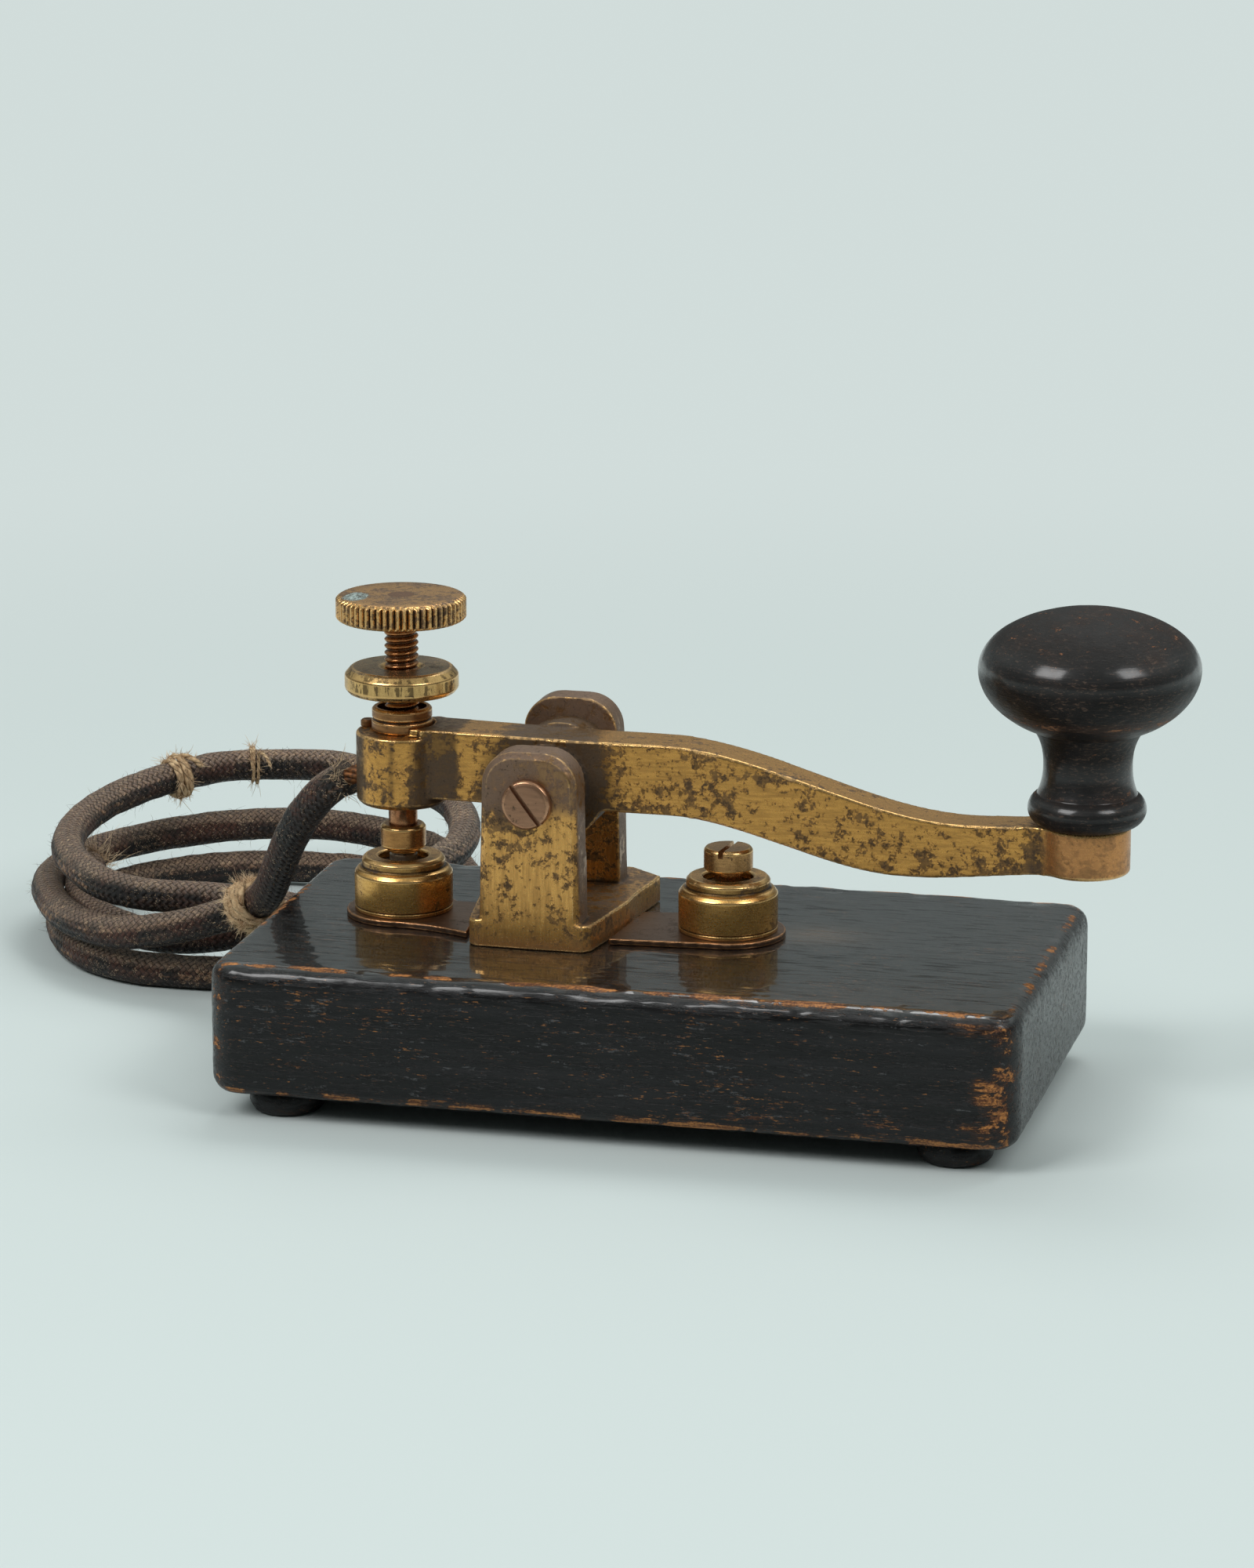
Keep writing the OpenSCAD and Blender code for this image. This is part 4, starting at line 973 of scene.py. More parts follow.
def knob_outline():
    bowl_drop = 0.45 * WIDE_H
    bowl_a = -math.acos((NECK_R + 1.8) / KNOB_R)
    bowl_z = WIDE_H + bowl_drop * math.sin(bowl_a)
    neck_z = BEAD_H + 5
    line = [(0, 0), (BEAD_R - BEAD_H / 2, 0)]
    line += arc(BEAD_R - BEAD_H / 2, BEAD_H / 2, BEAD_H / 2, -75, 62, 16)
    for z in np.linspace(BEAD_H, bowl_z, 22):
        low = (neck_z - z) / (neck_z - BEAD_H)
        high = (z - neck_z) / (bowl_z - neck_z)
        line.append((NECK_R + (0.9 * low**2.2 if low > 0 else 1.8 * high**2.4), z))
    for k in range(1, BOWL_STEPS + 1):
        a = bowl_a * (1 - k / BOWL_STEPS)
        line.append((KNOB_R * math.cos(a), WIDE_H + bowl_drop * math.sin(a)))
    for k in range(1, CROWN_STEPS):
        a = math.pi / 2 * k / CROWN_STEPS
        line.append((KNOB_R * math.cos(a), WIDE_H + (KNOB_H - WIDE_H) * math.sin(a)))
    return line + [(0, KNOB_H)]


def push_out(piece, heights):
    """Moves each point along its normal, by heights in millimetres."""
    move_points(piece, points_of(piece) + normals_of(piece) * (heights * MM)[:, None])


knob = turned("knob_turned", knob_outline(), foot_of("knob"), ease=0.12, sides=160)
knob_points = points_of(knob)
rings = lumps(knob_points * np.array((1, 1, 0.25)), 1.6 * MM, 6)
push_out(knob, 0.10 * lumps(knob_points, 11 * MM, 5) + 0.035 * rings)

# %% Feet and pivot bolt
FOOT_R, FOOT_H = 7.0, 4.5
FOOT_LINE = [(0, 0), (FOOT_R - 2.2, 0)]
FOOT_LINE += arc(FOOT_R - FOOT_H * 0.62, FOOT_H * 0.55, FOOT_H * 0.62, -50, 46, 12)
FOOT_LINE += [(FOOT_R - 1.4, FOOT_H), (0, FOOT_H)]
feet_low, feet_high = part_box("feet")
inset = FOOT_R * MM
left_right, front_back = ((low + inset, high - inset) for low, high in zip(feet_low[:2], feet_high[:2]))
foot_spots = [Vector((x, y, 0)) for x in left_right for y in front_back]
feet = [turned(f"foot_{n}", FOOT_LINE, spot, ease=0.15, sides=72) for n, spot in enumerate(foot_spots)]
for foot in feet:
    spots = points_of(foot)
    knock = np.clip(lumps(spots, 2.6 * MM, 9) - 0.1, 0, 1) * 0.5 + 0.12 * lumps(spots, 1.1 * MM, 10)
    knock *= MM * (spots[:, 2] > 0.3 * MM)
    outward = (spots[:, :2] - spots.mean(axis=0)[:2]) / (FOOT_R * MM)
    spots[:, :2] -= outward * knock[:, None]
    move_points(foot, spots)

BOLT_R, BOLT_HEAD_R, BOLT_HEAD_H = 3, 4.6, 2
bolt_low, bolt_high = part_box("pivot_bolt")
BOLT_AXIS = Vector(((bolt_low.x + bolt_high.x) / 2, bolt_high.y, (bolt_low.z + bolt_high.z) / 2))
BOLT_L = (bolt_high.y - bolt_low.y) / MM
BOLT_LINE = [
    (0, 0), (2.5, 0), (BOLT_R, 0.5), (BOLT_R, BOLT_L - BOLT_HEAD_H), (BOLT_HEAD_R, BOLT_L - BOLT_HEAD_H),
    (BOLT_HEAD_R, BOLT_L - 0.75), (4.35, BOLT_L - 0.3), (3.6, BOLT_L - 0.08), (2, BOLT_L), (0, BOLT_L),
]
lying = Matrix.Rotation(math.radians(90), 4, "X")
bolt = turned("pivot_bolt_turned", BOLT_LINE, BOLT_AXIS, ease=0.2, sides=112, tilt=lying)
slot_lean = math.radians(-53)
slot_way = Vector((math.cos(slot_lean), 0, math.sin(slot_lean)))
bolt_face = Vector((BOLT_AXIS.x, bolt_low.y, BOLT_AXIS.z))
cut_slot(bolt, bolt_face, slot_way, width=0.85 * MM, depth=1.1 * MM, up=Vector((0, -1, 0)))
print("knob faces", len(knob.data.polygons), "bolt", round(BOLT_L, 2), "mm long")

# %% [markdown]
# ## Castings and the wooden block
# The lever and the pivot frame were cast and then filed, so their edges are soft and their
# faces not quite flat. A voxel remesh of the CAD solid gives an even net of small squares over
# every blend and hole at once; a few rounds of averaging then round the edges as a file and
# a century of handling do. How sharply the smoothed surface bends at each point is kept as
# "edge" and "hollow", as on the turned parts. The thin strips are made in the same way.

# %% Recasting a CAD solid
BEND_GAIN, BEND_SPARED, WELD = 9, 0.1, 0.002


def neighbours_mean(values, ends, count):
    """The mean of each point's neighbours, for one or three numbers per point."""
    values = values.reshape(count, -1)
    total = np.zeros_like(values)
    for column in range(values.shape[1]):
        for a, b in ((0, 1), (1, 0)):
            total[:, column] += np.bincount(ends[:, a], weights=values[ends[:, b], column], minlength=count)
    near = np.bincount(ends.ravel(), minlength=count)
    return total / np.maximum(near, 1)[:, None]


def recast(name, node, voxel, rounds=2):
    """A finer and softer copy of a CAD solid, and how sharply it bends at each point."""
    piece = placed(name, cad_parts[node].data.copy())
    piece.data.materials.clear()
    net = bmesh.new()
    net.from_mesh(piece.data)
    bmesh.ops.remove_doubles(net, verts=net.verts, dist=WELD * MM)
    net.to_mesh(piece.data)
    net.free()
    made = with_modifier(piece, "REMESH", mode="VOXEL", voxel_size=voxel * MM)
    made.name = name
    made.shade_smooth()
    count = len(made.vertices)
    ends = np.zeros(len(made.edges) * 2, np.int32)
    made.edges.foreach_get("vertices", ends)
    ends = ends.reshape(-1, 2)
    points = points_of(piece)
    for _ in range(rounds):
        points += 0.5 * (neighbours_mean(points, ends, count) - points)
    move_points(piece, points)
    bend = ((points - neighbours_mean(points, ends, count)) * normals_of(piece)).sum(axis=1) / (voxel * MM)
    bend = 0.5 * bend + 0.5 * neighbours_mean(bend, ends, count)[:, 0]
    out, inward = (np.clip(way * bend * BEND_GAIN - BEND_SPARED, 0, 1) for way in (1, -1))
    mark(piece, edge=out, hollow=inward)
    return piece, bend


def filed(piece, wide, fine, seed):
    """Pushes a casting's faces in and out a little: wide waves of the file and fine pits of the sand."""
    points = points_of(piece)
    waves = wide * lumps(points, 8 * MM, seed) + 0.3 * wide * lumps(points, 3 * MM, seed + 1)
    push_out(piece, waves + fine * lumps(points, 0.9 * MM, seed + 2))


lever, _ = recast("lever_cast", "lever", voxel=0.30)
filed(lever, wide=0.03, fine=0.008, seed=40)
pivot_frame, _ = recast("pivot_frame_cast", "pivot_frame", voxel=0.30)
filed(pivot_frame, wide=0.03, fine=0.010, seed=50)
rear_strip, _ = recast("rear_strip_worn", "rear_strip", voxel=0.26)
front_strip, _ = recast("front_strip_worn", "front_strip", voxel=0.26)
print("faces:", {p.name: len(p.data.polygons) for p in (lever, pivot_frame, rear_strip, front_strip)})

# %% [markdown]
# ## Marks on the castings
# Tarnish isn't spread evenly. The lever is darker on the strap beside the rear boss and in a ring
# round the knob's boss, carries a painted shadow round the pivot and painted dark reflections on
# the flanks of the rear boss, and the posts' sides and inner faces are painted shade. The end boss
# is coppery, and the heads of the posts carry a smooth purple-brown film. Such places are kept on
# the mesh as numbers from 0 to 1, worked out from distances and from the way each face looks, and
# the finish breaks up their borders with noise.

# %% Marks
PIVOT = (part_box("pivot_bolt")[0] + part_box("pivot_bolt")[1]) / 2
KNOB_AXIS = foot_of("knob")


def hump(distance, width):
    """1 at distance 0, falling smoothly to nearly 0 at about twice the width, both in millimetres."""
    return np.exp(-((distance / width) ** 2))


def ramp(values, start, length):
    """0 up to start, 1 from start + length on, and straight between. A negative length turns it round."""
    return np.clip((values - start) / length, 0, 1)


spots = points_of(lever)
from_pivot = np.hypot(spots[:, 0] - PIVOT.x, spots[:, 2] - PIVOT.z) / MM
from_knob = np.hypot(spots[:, 0] - KNOB_AXIS.x, spots[:, 1] - KNOB_AXIS.y) / MM
from_rear = (spots[:, 0] - REAR.x) / MM
turned_right = np.degrees(np.arctan2(normals_of(lever)[:, 0], -normals_of(lever)[:, 1]))
beside_boss = ramp(from_rear, 13.0, -1.5) * (from_rear > 4.5)
# Painted dark reflection: the flanks of the rear boss are painted darker as they turn away from the front, with
# a dark line down the middle of its front, and the whole boss a little darker.
boss_painted_shade = ramp(turned_right, 20, 24) + 0.95 * ramp(turned_right, -30, -20)
boss_painted_shade += 0.45 * hump(turned_right - 2, 5)
boss_painted_shade *= (from_rear < 7) * (np.abs(turned_right) < 120)
boss_painted_shade += 0.2 * (from_rear < 8.5)
# Painted shadow round the pivot, where the lever sits between the posts; round_knob is a darker ring round the
# knob's boss.
pivot_shadow, round_knob = ramp(from_pivot, 15.5, -5), hump(from_knob - 9.4, 1.6)
grime = np.maximum.reduce([0.85 * beside_boss, boss_painted_shade, 0.9 * pivot_shadow, 0.55 * round_knob])
mark(lever, grime=grime)
mark(lever, copper=ramp(from_knob, 8.9, -0.8))

spots, facing = points_of(pivot_frame), normals_of(pivot_frame)
heights = (spots[:, 2] - BASE_TOP) / MM
post_head = ramp((spots[:, 2] - PIVOT.z) / MM, -4.5, 5)
# Painted shade: the faces of the posts that look left and right are painted darker.
post_side_shade = 0.85 * ramp(np.abs(facing[:, 0]), 0.75, 0.125) * (heights > 5.4)
# Painted shade between the posts: the front post's inner face is painted darker, and the upward faces below 8
# mm are darkened too.
post_inside_shade = 0.6 * (facing[:, 1] > 0.8) * (spots[:, 1] < PIVOT.y)
post_inside_shade += 0.5 * (facing[:, 2] > 0.8) * (heights < 8)
mark(pivot_frame, grime=np.maximum.reduce([post_head, post_side_shade, post_inside_shade]))
mark(pivot_frame, copper=ramp(heights, 3.2, -3.2))
# piece, height of its foot in metres, height where the darkening begins and ends in millimetres, how much
for piece, foot_z, low, high, most in (
    (rear_anvil, BASE_TOP, 9.0, 9.5, 0.62), (front_anvil, BASE_TOP, 9.0, 9.5, 0.62),
    (lock_disc, foot_of("lock_disc").z, 4.0, 4.7, 0.72),
):
    mark(piece, grime=most * ramp((points_of(piece)[:, 2] - foot_z) / MM, low, high - low))
print("lever points in grime:", int((grime > 0.5).sum()), "of", len(grime))

# %% [markdown]
# ## The wooden block
# The block is remeshed too, with larger squares. Its edges have been knocked for a century,
# so the top edges are wavy and dented, and the black has worn off in splinters that follow the
# grain. Where the wood is bare is kept as "worn": a narrow line along the top and bottom
# edges, the upright corners, and a broad patch on the front face at the right-hand corner.

# %% Wooden block
block, block_bend = recast("base_block", "base", voxel=0.62)
spots = points_of(block)
middle_y = (base_low.y + base_high.y) / 2
past_end = (np.abs(spots[:, 0] - BASE_MIDDLE_X) - (base_high.x - BASE_MIDDLE_X)) / MM
past_side = (np.abs(spots[:, 1] - middle_y) - (base_high.y - middle_y)) / MM
below_top = (BASE_TOP - spots[:, 2]) / MM
above_foot = (spots[:, 2] - base_low.z) / MM
corner = np.clip(block_bend * BEND_GAIN, 0, 1) * ((past_end > -8) | (past_side > -8))
dents = 0.75 * ramp(lumps(spots, 6 * MM, 60), 0.2, 1) + 0.5 * ramp(lumps(spots, 2.6 * MM, 61), 0.25, 1)
to_edge = np.minimum(np.hypot(np.minimum(past_side + 1.5, 0), below_top), np.hypot(past_end, past_side))
close = ramp(to_edge, 5, -5)
grain = 0.03 * lumps(spots * np.array((0.12, 1, 1)), 1.3 * MM, 62) + 0.04 * lumps(spots, 16 * MM, 63)
waves = 0.12 * close * lumps(spots, 4.5 * MM, 64)
push_out(block, grain + waves - 0.8 * np.maximum(corner, close) * dents)

left = spots[:, 0] < BASE_MIDDLE_X
top_line = hump(np.hypot(past_side + 2.6, below_top), 1.5)
foot_line = hump(np.hypot(past_side + 0.6, above_foot - 1.0), 1.5)
end_line = 0.8 * hump(np.hypot(past_end + 2, below_top), 1.8)
end_line += 0.7 * hump(np.hypot(past_end + 0.8, above_foot - 0.8), 1.6)
upright = 0.8 * hump(np.hypot(past_end + 2.2, past_side + 2.2), 2.6)
patch = np.clip(1 + past_end / np.where(left, 7.0, 19.0), 0, 1) ** 0.8
patch *= np.where(left, 0.75, 0.85) * (past_side > -2.5)
mark(block, worn=np.clip(np.maximum.reduce([0.95 * top_line, foot_line, end_line, upright, patch]), 0, 1))
mark(block, end_grain=ramp(past_end, -3.5, 2))
smear = np.hypot((spots[:, 0] - FRONT.x) / MM - 15, ((spots[:, 1] - FRONT.y) / MM - 4) * 1.6)
mark(block, dusty=0.9 * hump(smear, 9) * (below_top < 0.5))
print("block faces", len(block.data.polygons))

# %% [markdown]
# ## What moves with what
# Every piece rides on the CAD body that carries it: the knob and the collar go with the
# lever, the head with its spindle, and the anvils stay on the base. Each new piece also
# stands for the CAD node that it was made from, which is then hidden.

# %% Bodies
CARRIED = {
    "root": [
        (rear_anvil, "rear_anvil"), (front_anvil, "front_anvil"), (bolt, "pivot_bolt"),
        (pivot_frame, "pivot_frame"), (block, "base"), (rear_strip, "rear_strip"),
        (front_strip, "front_strip"), *((foot, "feet") for foot in feet),
    ],
    "lever": [(lever, "lever"), (knob, "knob"), (collar, "boss_collar")],
    "contact_tip": [(contact_tip, "contact_tip")],
    "adjuster": [(spindle, "adjusting_spindle"), (thumb_head, "thumb_head")],
    "lock_disc": [(lock_disc, "lock_disc")],
    "front_contact": [(contact_screw, "front_contact_screw")],
}
for body, pairs in CARRIED.items():
    for piece, node in pairs:
        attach(piece, body)
        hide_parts(node)
print("pieces made again:", sum(len(p) for p in CARRIED.values()))

# %% [markdown]
# ## Old brass
# Brass that has been handled for a century isn't one colour. A thin brown film lies over the
# gold, thick in hollows, with ragged grey-brown patches where it has clotted, small dark pits,
# and bright lines where edges are rubbed, which are also painted highlights along edges, crests
# and chamfers. The finish is built in that order, and a darker brown is laid where the mesh is
# marked for grime and painted shade. The patches come from noise with many octaves, cut off
# sharply, so that their borders are ragged, and a broad cloud decides where there are many and
# where there are few. One function makes every brass here, and a table gives each its colours
# and how much there is of film, clots and pits.

# %% Brass finish
BROWN_GRIME_AND_SHADE = (0.117, 0.069, 0.034, 1)


def old_brass(
    name, slot, gold, film, crust, cover, clots, pits, smooth, rubbed_edge_highlight=(226, 182, 120), lines=(0.25, 2.2, 2.2),
    size=1.0, relief=1.0, spun=0.0, grime_and_shade_colour=BROWN_GRIME_AND_SHADE, drips=0.0, verdigris=None,
):
    """Brass with a tarnish film.

    cover, clots, pits and drips run from 0 to about 1. lines is the way of the brushing, and spun is
    how much the fine grooves of a lathe, which run round the piece, draw the highlights out upwards.
    verdigris is the place of one pale green-blue patch, in millimetres.
    """
    f = Finish(name, slot)
    edge, hollow, grime, copper = (f.kept(n) for n in ("edge", "hollow", "grime", "copper"))
    broad = f.cloud(17 * size, 3, 0.5)
    patch = f.cloud(4.6 * size, 12, 0.7, 0.25)
    small = f.cloud(1.7 * size, 8, 0.72, 0.2)
    grain = f.cloud(0.45, 4, 0.7)
    brushed = f.cloud(1.0, 4, 0.62, where=f.stretched(*lines))

    def from_about(sum_of_clouds, start, width, more):
        """A mask that covers more where more is larger."""
        return sum_of_clouds.between(start - more, start + width - more)

    here = broad * 0.9 + grime * 0.25 + hollow * 0.1
    film_mask = from_about(patch * 0.5 + here * 0.7 + brushed * 0.12, 0.86, 0.2, 0.3 * cover)
    region = from_about(patch + here * 0.45, 0.79, 0.18, 0.14 * clots)
    plain = 1 - copper * 0.75
    clot_mask = (small * 0.55 + grain * 0.6 + region * 0.3).between(0.69, 0.76)
    clot_mask = clot_mask * region.between(0.02, 0.3) * plain
    isle_mask = from_about(small + grain * 0.15 + here * 0.3 + patch * 0.2, 0.95, 0.035, 0.1 * clots) * plain
    pit_mask = from_about(grain * 0.7 + small * 0.45 + here * 0.12, 0.83, 0.03, 0.08 * pits)
    # Rubbed edges: bright metal where the tarnish is worn off, and also a painted highlight along every outer
    # edge, thread crest and knurl chamfer.
    rubbed = (edge * 1.05 - small * 0.35 + brushed * 0.15).between(0.15, 0.5) * (1 - isle_mask * 0.6)
    spotted = f.mix((small * 0.6 + grain * 0.4).between(0.42, 0.6), crust, (70, 54, 38))
    colour = f.layered(
        gold,
        ((brushed * 0.8 + small * 0.3).between(0.38, 0.78) * 0.6, film),
        (copper * 0.7, (190, 132, 88)),
        (film_mask * 0.8, film),
        (clot_mask * 0.7, spotted),
        (isle_mask * 0.72, spotted),
        # A darker brown where the mesh is marked grime: tarnish film and grime, and on the lever and frame also
        # painted shadow, painted shade and painted dark reflection.
        ((grime + patch * 0.7 + small * 0.2 - 0.45).between(0.2, 0.9) * 0.8, grime_and_shade_colour),
    )
    if drips:
        run = f.cloud(1.5, 6, 0.62, where=f.stretched(1.0, 1.0, 0.16)) + small * 0.25 + broad * 0.15
        colour = f.mix(from_about(run, 0.8, 0.04, 0.1 * drips) * (1 - grime) * 0.75, colour, spotted)
    if verdigris:
        away = f.stretched(0.42, 0.27, 0.5, where=f.vector("SUBTRACT", f.mm, verdigris))
        green = (f.vector("LENGTH", away, out="Value") + small * 1.4 - grain * 0.2).between(1.62, 1.5)
        patina = f.mix(grain.between(0.4, 0.54), (84, 104, 104), (196, 214, 210))
        colour = f.mix(green * 0.85, colour, patina)
    dark_hollow = hollow.between(0.05, 0.8) * 0.85, (46, 33, 24)
    colour = f.layered(colour, (pit_mask * 0.8, (40, 30, 22)), dark_hollow, (rubbed * 0.8, rubbed_edge_highlight))
    dull = clot_mask * 0.45 + isle_mask * 0.35 + film_mask * 0.2 + pit_mask * 0.3 + grime * 0.1
    rough = dull * 0.3 + smooth + (grain - 0.5) * 0.2 + (brushed - 0.5) * 0.15 - rubbed * 0.06
    height = grain * 0.3 - pit_mask * 0.6 + clot_mask * 0.25 + isle_mask * 0.25 + brushed * 0.2
    return f.give(
        Base_Color=colour, Metallic=0.92 - dull.do("MINIMUM", 1.0) * 0.62 - copper * 0.15, Anisotropic=spun,
        Roughness=rough.do("MINIMUM", 0.9), Normal=f.bump(height, 0.06 * relief),
    )


def brasses(table):
    """Makes the finishes of a table, puts each on its pieces and returns them by name."""
    return {
        name: old_brass(name, slot, *colours, *amounts, **rest).on(*pieces)
        for name, slot, pieces, colours, amounts, rest in table
    }


ALONG, UPRIGHT, ROUND, ROUND_RIM = (0.22, 2.2, 2.2), (2.2, 2.2, 0.22), (0.5, 0.5, 2.4), (1.6, 1.6, 0.3)
VERDIGRIS = (REAR.x / MM - 7.6, REAR.y / MM - 3.9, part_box("thumb_head")[1].z / MM)
# name, slot, pieces, the colours gold, film and crust, how much cover, clots, pits and smooth, and the rest
brasses([
    ("lever_brass", "aged_brass", [lever], [(226, 168, 90), (146, 106, 64), (92, 74, 56)],
     (0.6, 0.85, 0.85, 0.28), dict(lines=ALONG, size=0.72, grime_and_shade_colour=(82, 64, 46))),
    ("frame_brass", "aged_brass", [pivot_frame], [(240, 182, 104), (158, 112, 68), (92, 74, 56)],
     (0.5, 0.95, 0.95, 0.29), dict(lines=UPRIGHT, size=0.75, grime_and_shade_colour=(122, 98, 80))),
    ("anvil_brass", "aged_brass", [rear_anvil, front_anvil], [(236, 184, 106), (164, 116, 66), (80, 60, 40)],
     (0.4, 0.2, 0.3, 0.26), dict(lines=ROUND, size=0.8, relief=0.05, spun=0.7)),
    ("disc_brass", "aged_brass", [lock_disc], [(232, 190, 124), (160, 126, 80), (66, 52, 38)],
     (0.45, 0.2, 0.3, 0.26),
     dict(lines=ROUND_RIM, size=0.7, relief=0.05, spun=0.6, grime_and_shade_colour=(114, 100, 86), drips=0.85)),
    ("head_brass", "copper_brass", [thumb_head], [(240, 184, 116), (176, 126, 80), (84, 70, 66)],
     (0.35, 1.2, 0.3, 0.28), dict(size=0.5, relief=0.3, verdigris=VERDIGRIS)),
    ("tip_brass", "dark_brass", [contact_tip], [(182, 132, 78), (118, 82, 50), (60, 42, 30)],
     (0.5, 0.3, 0.3, 0.26), dict(lines=ROUND, size=0.6, relief=0.08, spun=0.6)),
    ("screw_brass", "copper_brass", [contact_screw], [(196, 150, 98), (140, 104, 68), (82, 66, 48)],
     (0.45, 0.3, 0.3, 0.28), dict(size=0.6, relief=0.15, spun=0.4)),
    ("bolt_brass", "copper_brass", [bolt], [(172, 130, 102), (136, 104, 84), (94, 74, 62)],
     (0.6, 0.5, 0.4, 0.36), dict(rubbed_edge_highlight=(200, 152, 118), size=0.5, relief=0.4)),
    ("thread_brass", "dark_brass", [spindle], [(184, 130, 90), (126, 86, 60), (76, 54, 42)],
     (0.6, 0.2, 0.2, 0.26), dict(rubbed_edge_highlight=(204, 148, 98), size=0.6, relief=0.1)),
    ("collar_brass", "dark_brass", [collar], [(160, 114, 72), (90, 64, 44), (54, 42, 33)],
     (0.7, 0.4, 0.2, 0.32), dict(rubbed_edge_highlight=(212, 162, 106), lines=ROUND, size=0.6, relief=0.1, spun=0.5)),
    ("strip_brass", "dark_brass", [rear_strip, front_strip], [(112, 86, 68), (80, 63, 52), (60, 49, 42)],
     (0.6, 0.5, 0.5, 0.36), dict(rubbed_edge_highlight=(190, 140, 98))),
])
print("brass finishes:", [m.name for m in bpy.data.materials if m.name.endswith("brass")])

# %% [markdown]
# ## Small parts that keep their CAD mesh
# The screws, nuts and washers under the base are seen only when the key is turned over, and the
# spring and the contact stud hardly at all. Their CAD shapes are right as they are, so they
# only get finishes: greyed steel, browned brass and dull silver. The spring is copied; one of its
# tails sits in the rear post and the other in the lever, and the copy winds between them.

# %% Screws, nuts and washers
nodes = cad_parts
fasteners = brasses([
    ("nut_brass", "aged_brass", [nodes["anvil_nuts"], nodes["anvil_washers"]],
     [(198, 154, 94), (140, 110, 72), (80, 66, 50)], (0.5, 0.5, 0.4, 0.36), {}),
    ("screw_steel", "steel", [nodes["foot_screws"], nodes["frame_screws"], nodes["knob_screw"]],
     [(150, 146, 138), (110, 102, 92), (86, 62, 44)], (0.5, 0.5, 0.6, 0.38),
     dict(rubbed_edge_highlight=(190, 188, 180))),
    ("contact_silver", "contact_silver", [nodes["rear_contact"]],
     [(200, 194, 180), (140, 130, 112), (80, 72, 60)], (0.4, 0.4, 0.4, 0.3), {}),
    ("clamp_screw_brass", "dark_brass", [nodes["lead_clamp_screw"]],
     [(130, 92, 58), (78, 54, 38), (48, 36, 28)], (0.8, 0.6, 0.4, 0.45), {}),
])
spring = placed("return_spring_wound", nodes["return_spring"].data.copy())
fasteners["screw_steel"].on(spring)
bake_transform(spring)
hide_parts("return_spring")
print("CAD meshes kept:", [n for n, o in nodes.items() if not o.hide_render])

# %% [markdown]
# ## Black wood
# The block is hardwood, stained black and polished, and the grain still shows: fine furrows
# along X that break up the shine. Where it has been knocked the black has come off in long
# splinters and the orange-brown wood shows. The finish works with stretched noise for the
# furrows, and adds a ragged, stretched noise to the kept "worn" number before it is cut off, so
# that chips follow the real edges but have the grain's own outline. The knob is the same
# black on a turned piece, more handled, with rings from the lathe and fine scratches.

# %% Wood finish
def black_wood(name, slot, along, wear, gloss, polished=0.0):
    """Stained hardwood. along stretches the grain, gloss is its roughness, and the rest run from 0 to 1."""
    f = Finish(name, slot)

    def drawn(by):
        """A stretch of the grain that is by times as strong along X."""
        return f.stretched(along[0] * by, along[1], along[2])

    spared = f.cloud(10, 4, 0.6, 0.2).between(0.58, 0.4)
    worn, ends = f.kept("worn") * (1 - spared * 0.55), f.kept("end_grain")
    furrow = f.cloud(0.8, 6, 0.62, 0.1, where=drawn(1))
    streak = f.cloud(3.0, 5, 0.62, 0.2, where=drawn(1))
    splinter = f.cloud(1.5, 9, 0.72, 0.15, where=drawn(1.3))
    sliver = f.cloud(0.6, 6, 0.75, where=drawn(1.6))
    fine = f.cloud(0.34, 5, 0.7, where=drawn(2.2))
    glint_noise = f.cloud(0.9, 6, 0.75, where=drawn(2.5))
    broad = f.cloud(16, 4, 0.6, 0.3)
    grit = f.cloud(0.5, 4, 0.7)
    ragged = worn * 0.54 * wear + (splinter * 0.75 + broad * 0.3 + sliver * 0.45)
    bare, halo = ragged.between(1.1, 1.125), ragged.between(0.94, 1.1)
    nick = (splinter * 0.7 + sliver * 0.3 + grit * 0.2 + broad * 0.3).between(0.872, 0.9)
    # Painted glints: short grey-white specks along the grain stand for highlights on the polish.
    painted_glint = (glint_noise + grit * 0.25 + broad * 0.2).between(0.84, 0.88)
    speck = (fine + broad * 0.3 + splinter * 0.25).between(0.9, 0.94)
    dusty = f.kept("dusty") * (grit * 0.7 + furrow * 0.6).between(0.35, 0.75)
    wood = f.mix((grit * 0.6 + furrow * 0.6).between(0.48, 0.7), (192, 128, 68), (86, 50, 31))
    colour = f.layered(
        (14, 13, 13),
        (streak.between(0.35, 0.7), (27, 26, 27)),
        (fine.between(0.5, 0.7) * 0.5, (42, 40, 40)),
        (painted_glint * 0.32, (120, 120, 122)),
        (halo * 0.65, (56, 36, 26)),
        (dusty, (104, 88, 74)),
        ((nick * 0.7).do("MAXIMUM", speck * 0.6), wood),
        (bare, wood),
    )
    rough = furrow.between(0.48, 0.7) * 0.16 + bare * 0.32 + nick * 0.2 + (broad - 0.5) * 0.1
    rough = rough + ends * 0.12 + gloss
    height = bare * -0.7 - nick * 0.5 - furrow.between(0.5, 0.66) * 0.35 + splinter * 0.35 + streak * 0.2
    polish = f.upward().between(0.35, 0.95) * furrow.between(0.7, 0.5) * (1 - bare) * polished
    return f.give(
        Base_Color=colour, Roughness=rough.do("MINIMUM", 0.9), Specular_IOR_Level=0.3, Coat_Weight=polish,
        Coat_Roughness=0.06, Coat_IOR=1.7, Normal=f.bump(height + fine * 0.25, 0.2),
    )


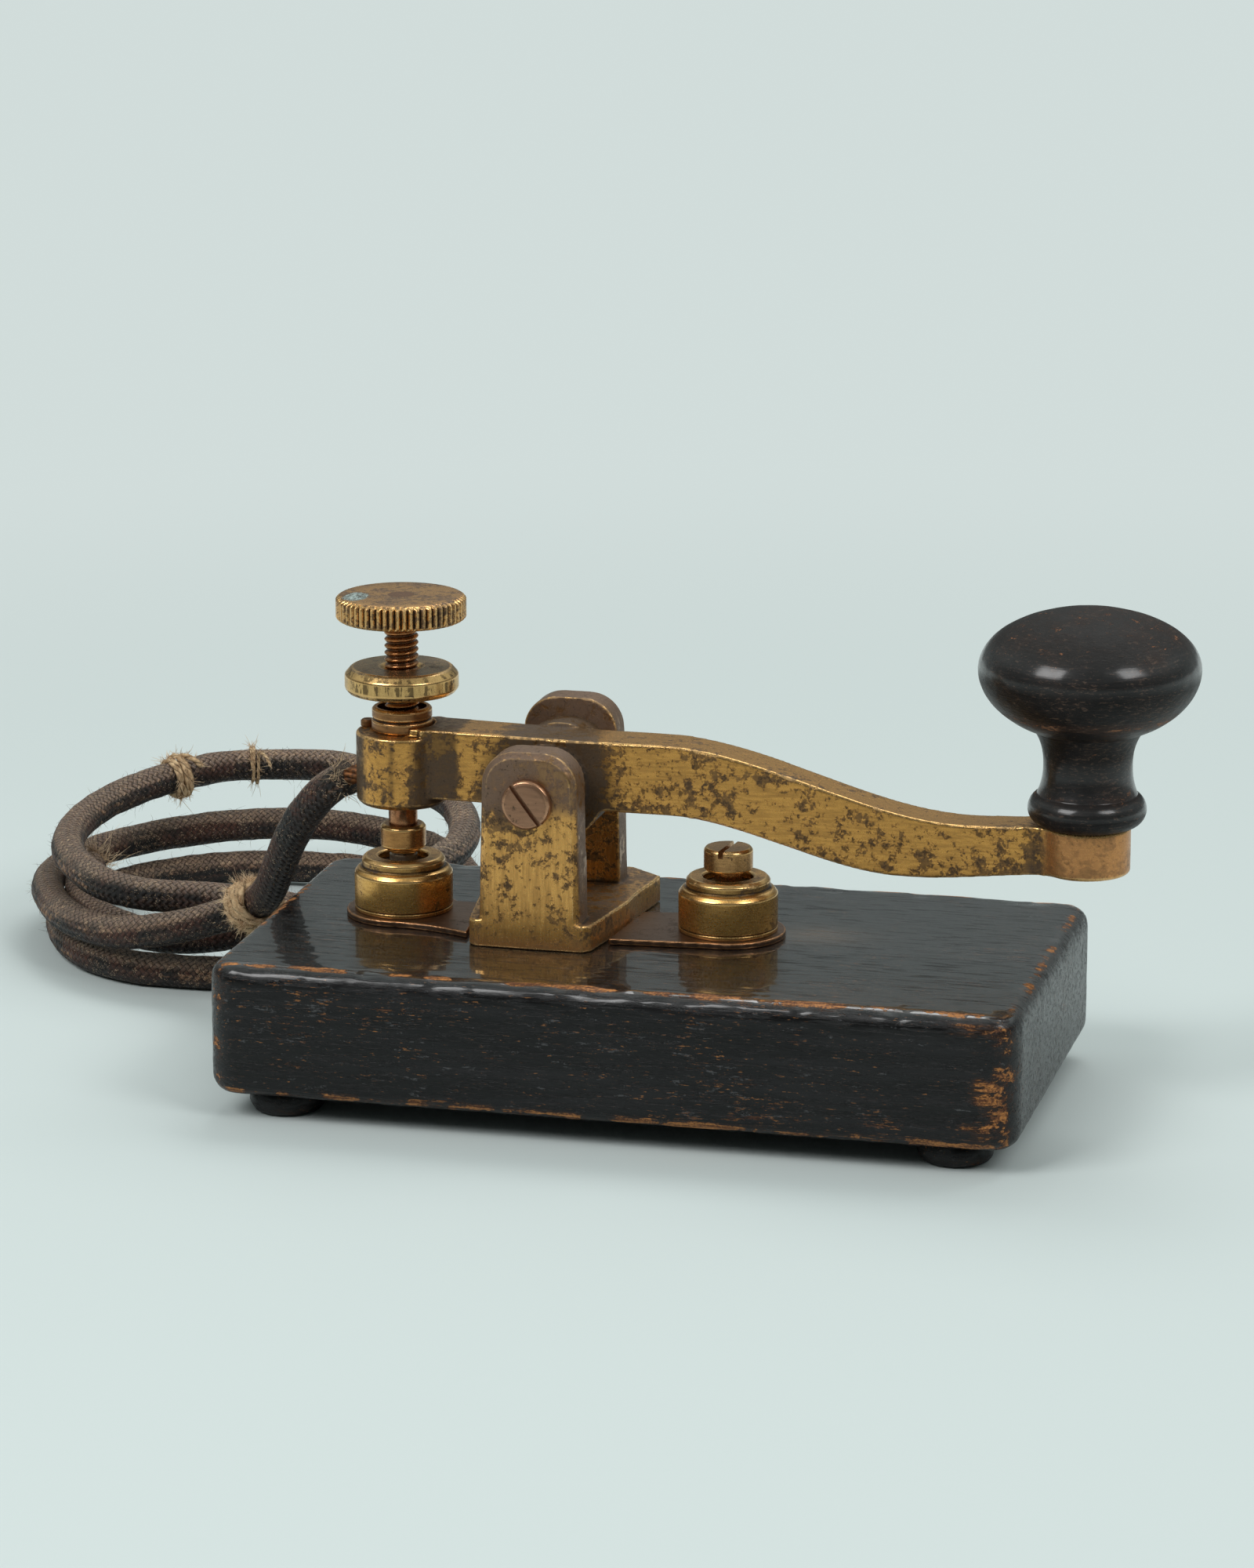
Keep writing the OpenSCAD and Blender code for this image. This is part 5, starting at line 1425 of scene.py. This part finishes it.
def lacquered_knob(name, slot):
    """The knob's black lacquer: satin, with rings of the lathe, fine scratches and worn flecks."""
    f = Finish(name, slot)
    turning = f.cloud(0.7, 4, 0.65, where=f.stretched(0.12, 0.12, 1.8))
    scratch = f.cloud(1.3, 7, 0.72, 0.6, where=f.stretched(0.35, 0.5, 1.6))
    hairs = f.cloud(0.5, 5, 0.75, 0.3, where=f.stretched(0.4, 0.4, 1.3))
    dimple = f.cloud(3.6, 3, 0.5, 0.3)
    broad = f.cloud(14, 4, 0.6, 0.4)
    grit = f.cloud(0.7, 4, 0.7)
    worn, upward = f.kept("worn"), f.upward()
    crown_sky_sheen, shoulder = upward.between(0.45, 0.85), upward.between(-0.2, 0.15)
    rubbed = (broad * 0.8 + dimple * 0.3 + worn * 0.35).between(0.62, 0.86)
    fleck = (scratch * 0.75 + grit * 0.35 + broad * 0.15 + worn * 0.1).between(0.76, 0.8)
    colour = f.layered(
        (17, 15, 15),
        (broad.between(0.35, 0.65), (30, 26, 25)),
        (rubbed * 0.6, (56, 38, 30)),
        (turning.between(0.54, 0.74) * 0.4, (70, 58, 52)),
        ((hairs + broad * 0.2).between(0.65, 0.74) * 0.55, (104, 82, 68)),
        # Painted sky reflection: the crown is painted greyer where it faces up.
        (crown_sky_sheen * 0.5, (46, 43, 41)),
        (fleck * 0.8, (150, 104, 76)),
    )
    rough = turning * 0.12 + rubbed * 0.1 + fleck * 0.2 + dimple * 0.1 + hairs * 0.15 + crown_sky_sheen * 0.22 + 0.18
    return f.give(
        Base_Color=colour, Roughness=rough.do("MINIMUM", 0.8), Specular_IOR_Level=0.17,
        Coat_Weight=shoulder * (1 - crown_sky_sheen) * (1.0 - rubbed * 0.4), Coat_Roughness=0.19,
        Normal=f.bump(turning * 0.35 + scratch * 0.7 + hairs * 0.4 + dimple * 0.9 - fleck * 0.4, 0.22),
    )


block_wood = black_wood(
    "ebonised_block", "ebonised_wood", along=(0.085, 1, 1), wear=1.0, gloss=0.12, polished=1.0,
).on(block)
foot_wood = black_wood("foot_wood", "ebonised_wood", along=(0.4, 0.4, 1.2), wear=0.8, gloss=0.4).on(*feet)
heights = (points_of(knob)[:, 2] - KNOB_AXIS.z) / MM
handled = hump(heights - (WIDE_H - 7.5), 1.0) + 0.6 * hump(heights - BEAD_H, 1.2)
mark(knob, worn=np.clip(handled + 0.5 * hump(heights - KNOB_H, 8), 0, 1))
knob_lacquer = lacquered_knob("black_lacquer", "black_wood").on(knob)
for foot in feet:
    mark(foot, worn=0.6 * hump(points_of(foot)[:, 2] / MM - 1.2, 1.5))
print("wood finishes:", block_wood.material.name, foot_wood.material.name, knob_lacquer.material.name)

# %% Sizes and the end
seen_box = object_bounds()
for what, box in (("CAD box", cad_box), ("visual box", seen_box)):
    print(what, [[round(c, 4) for c in v] for v in box])
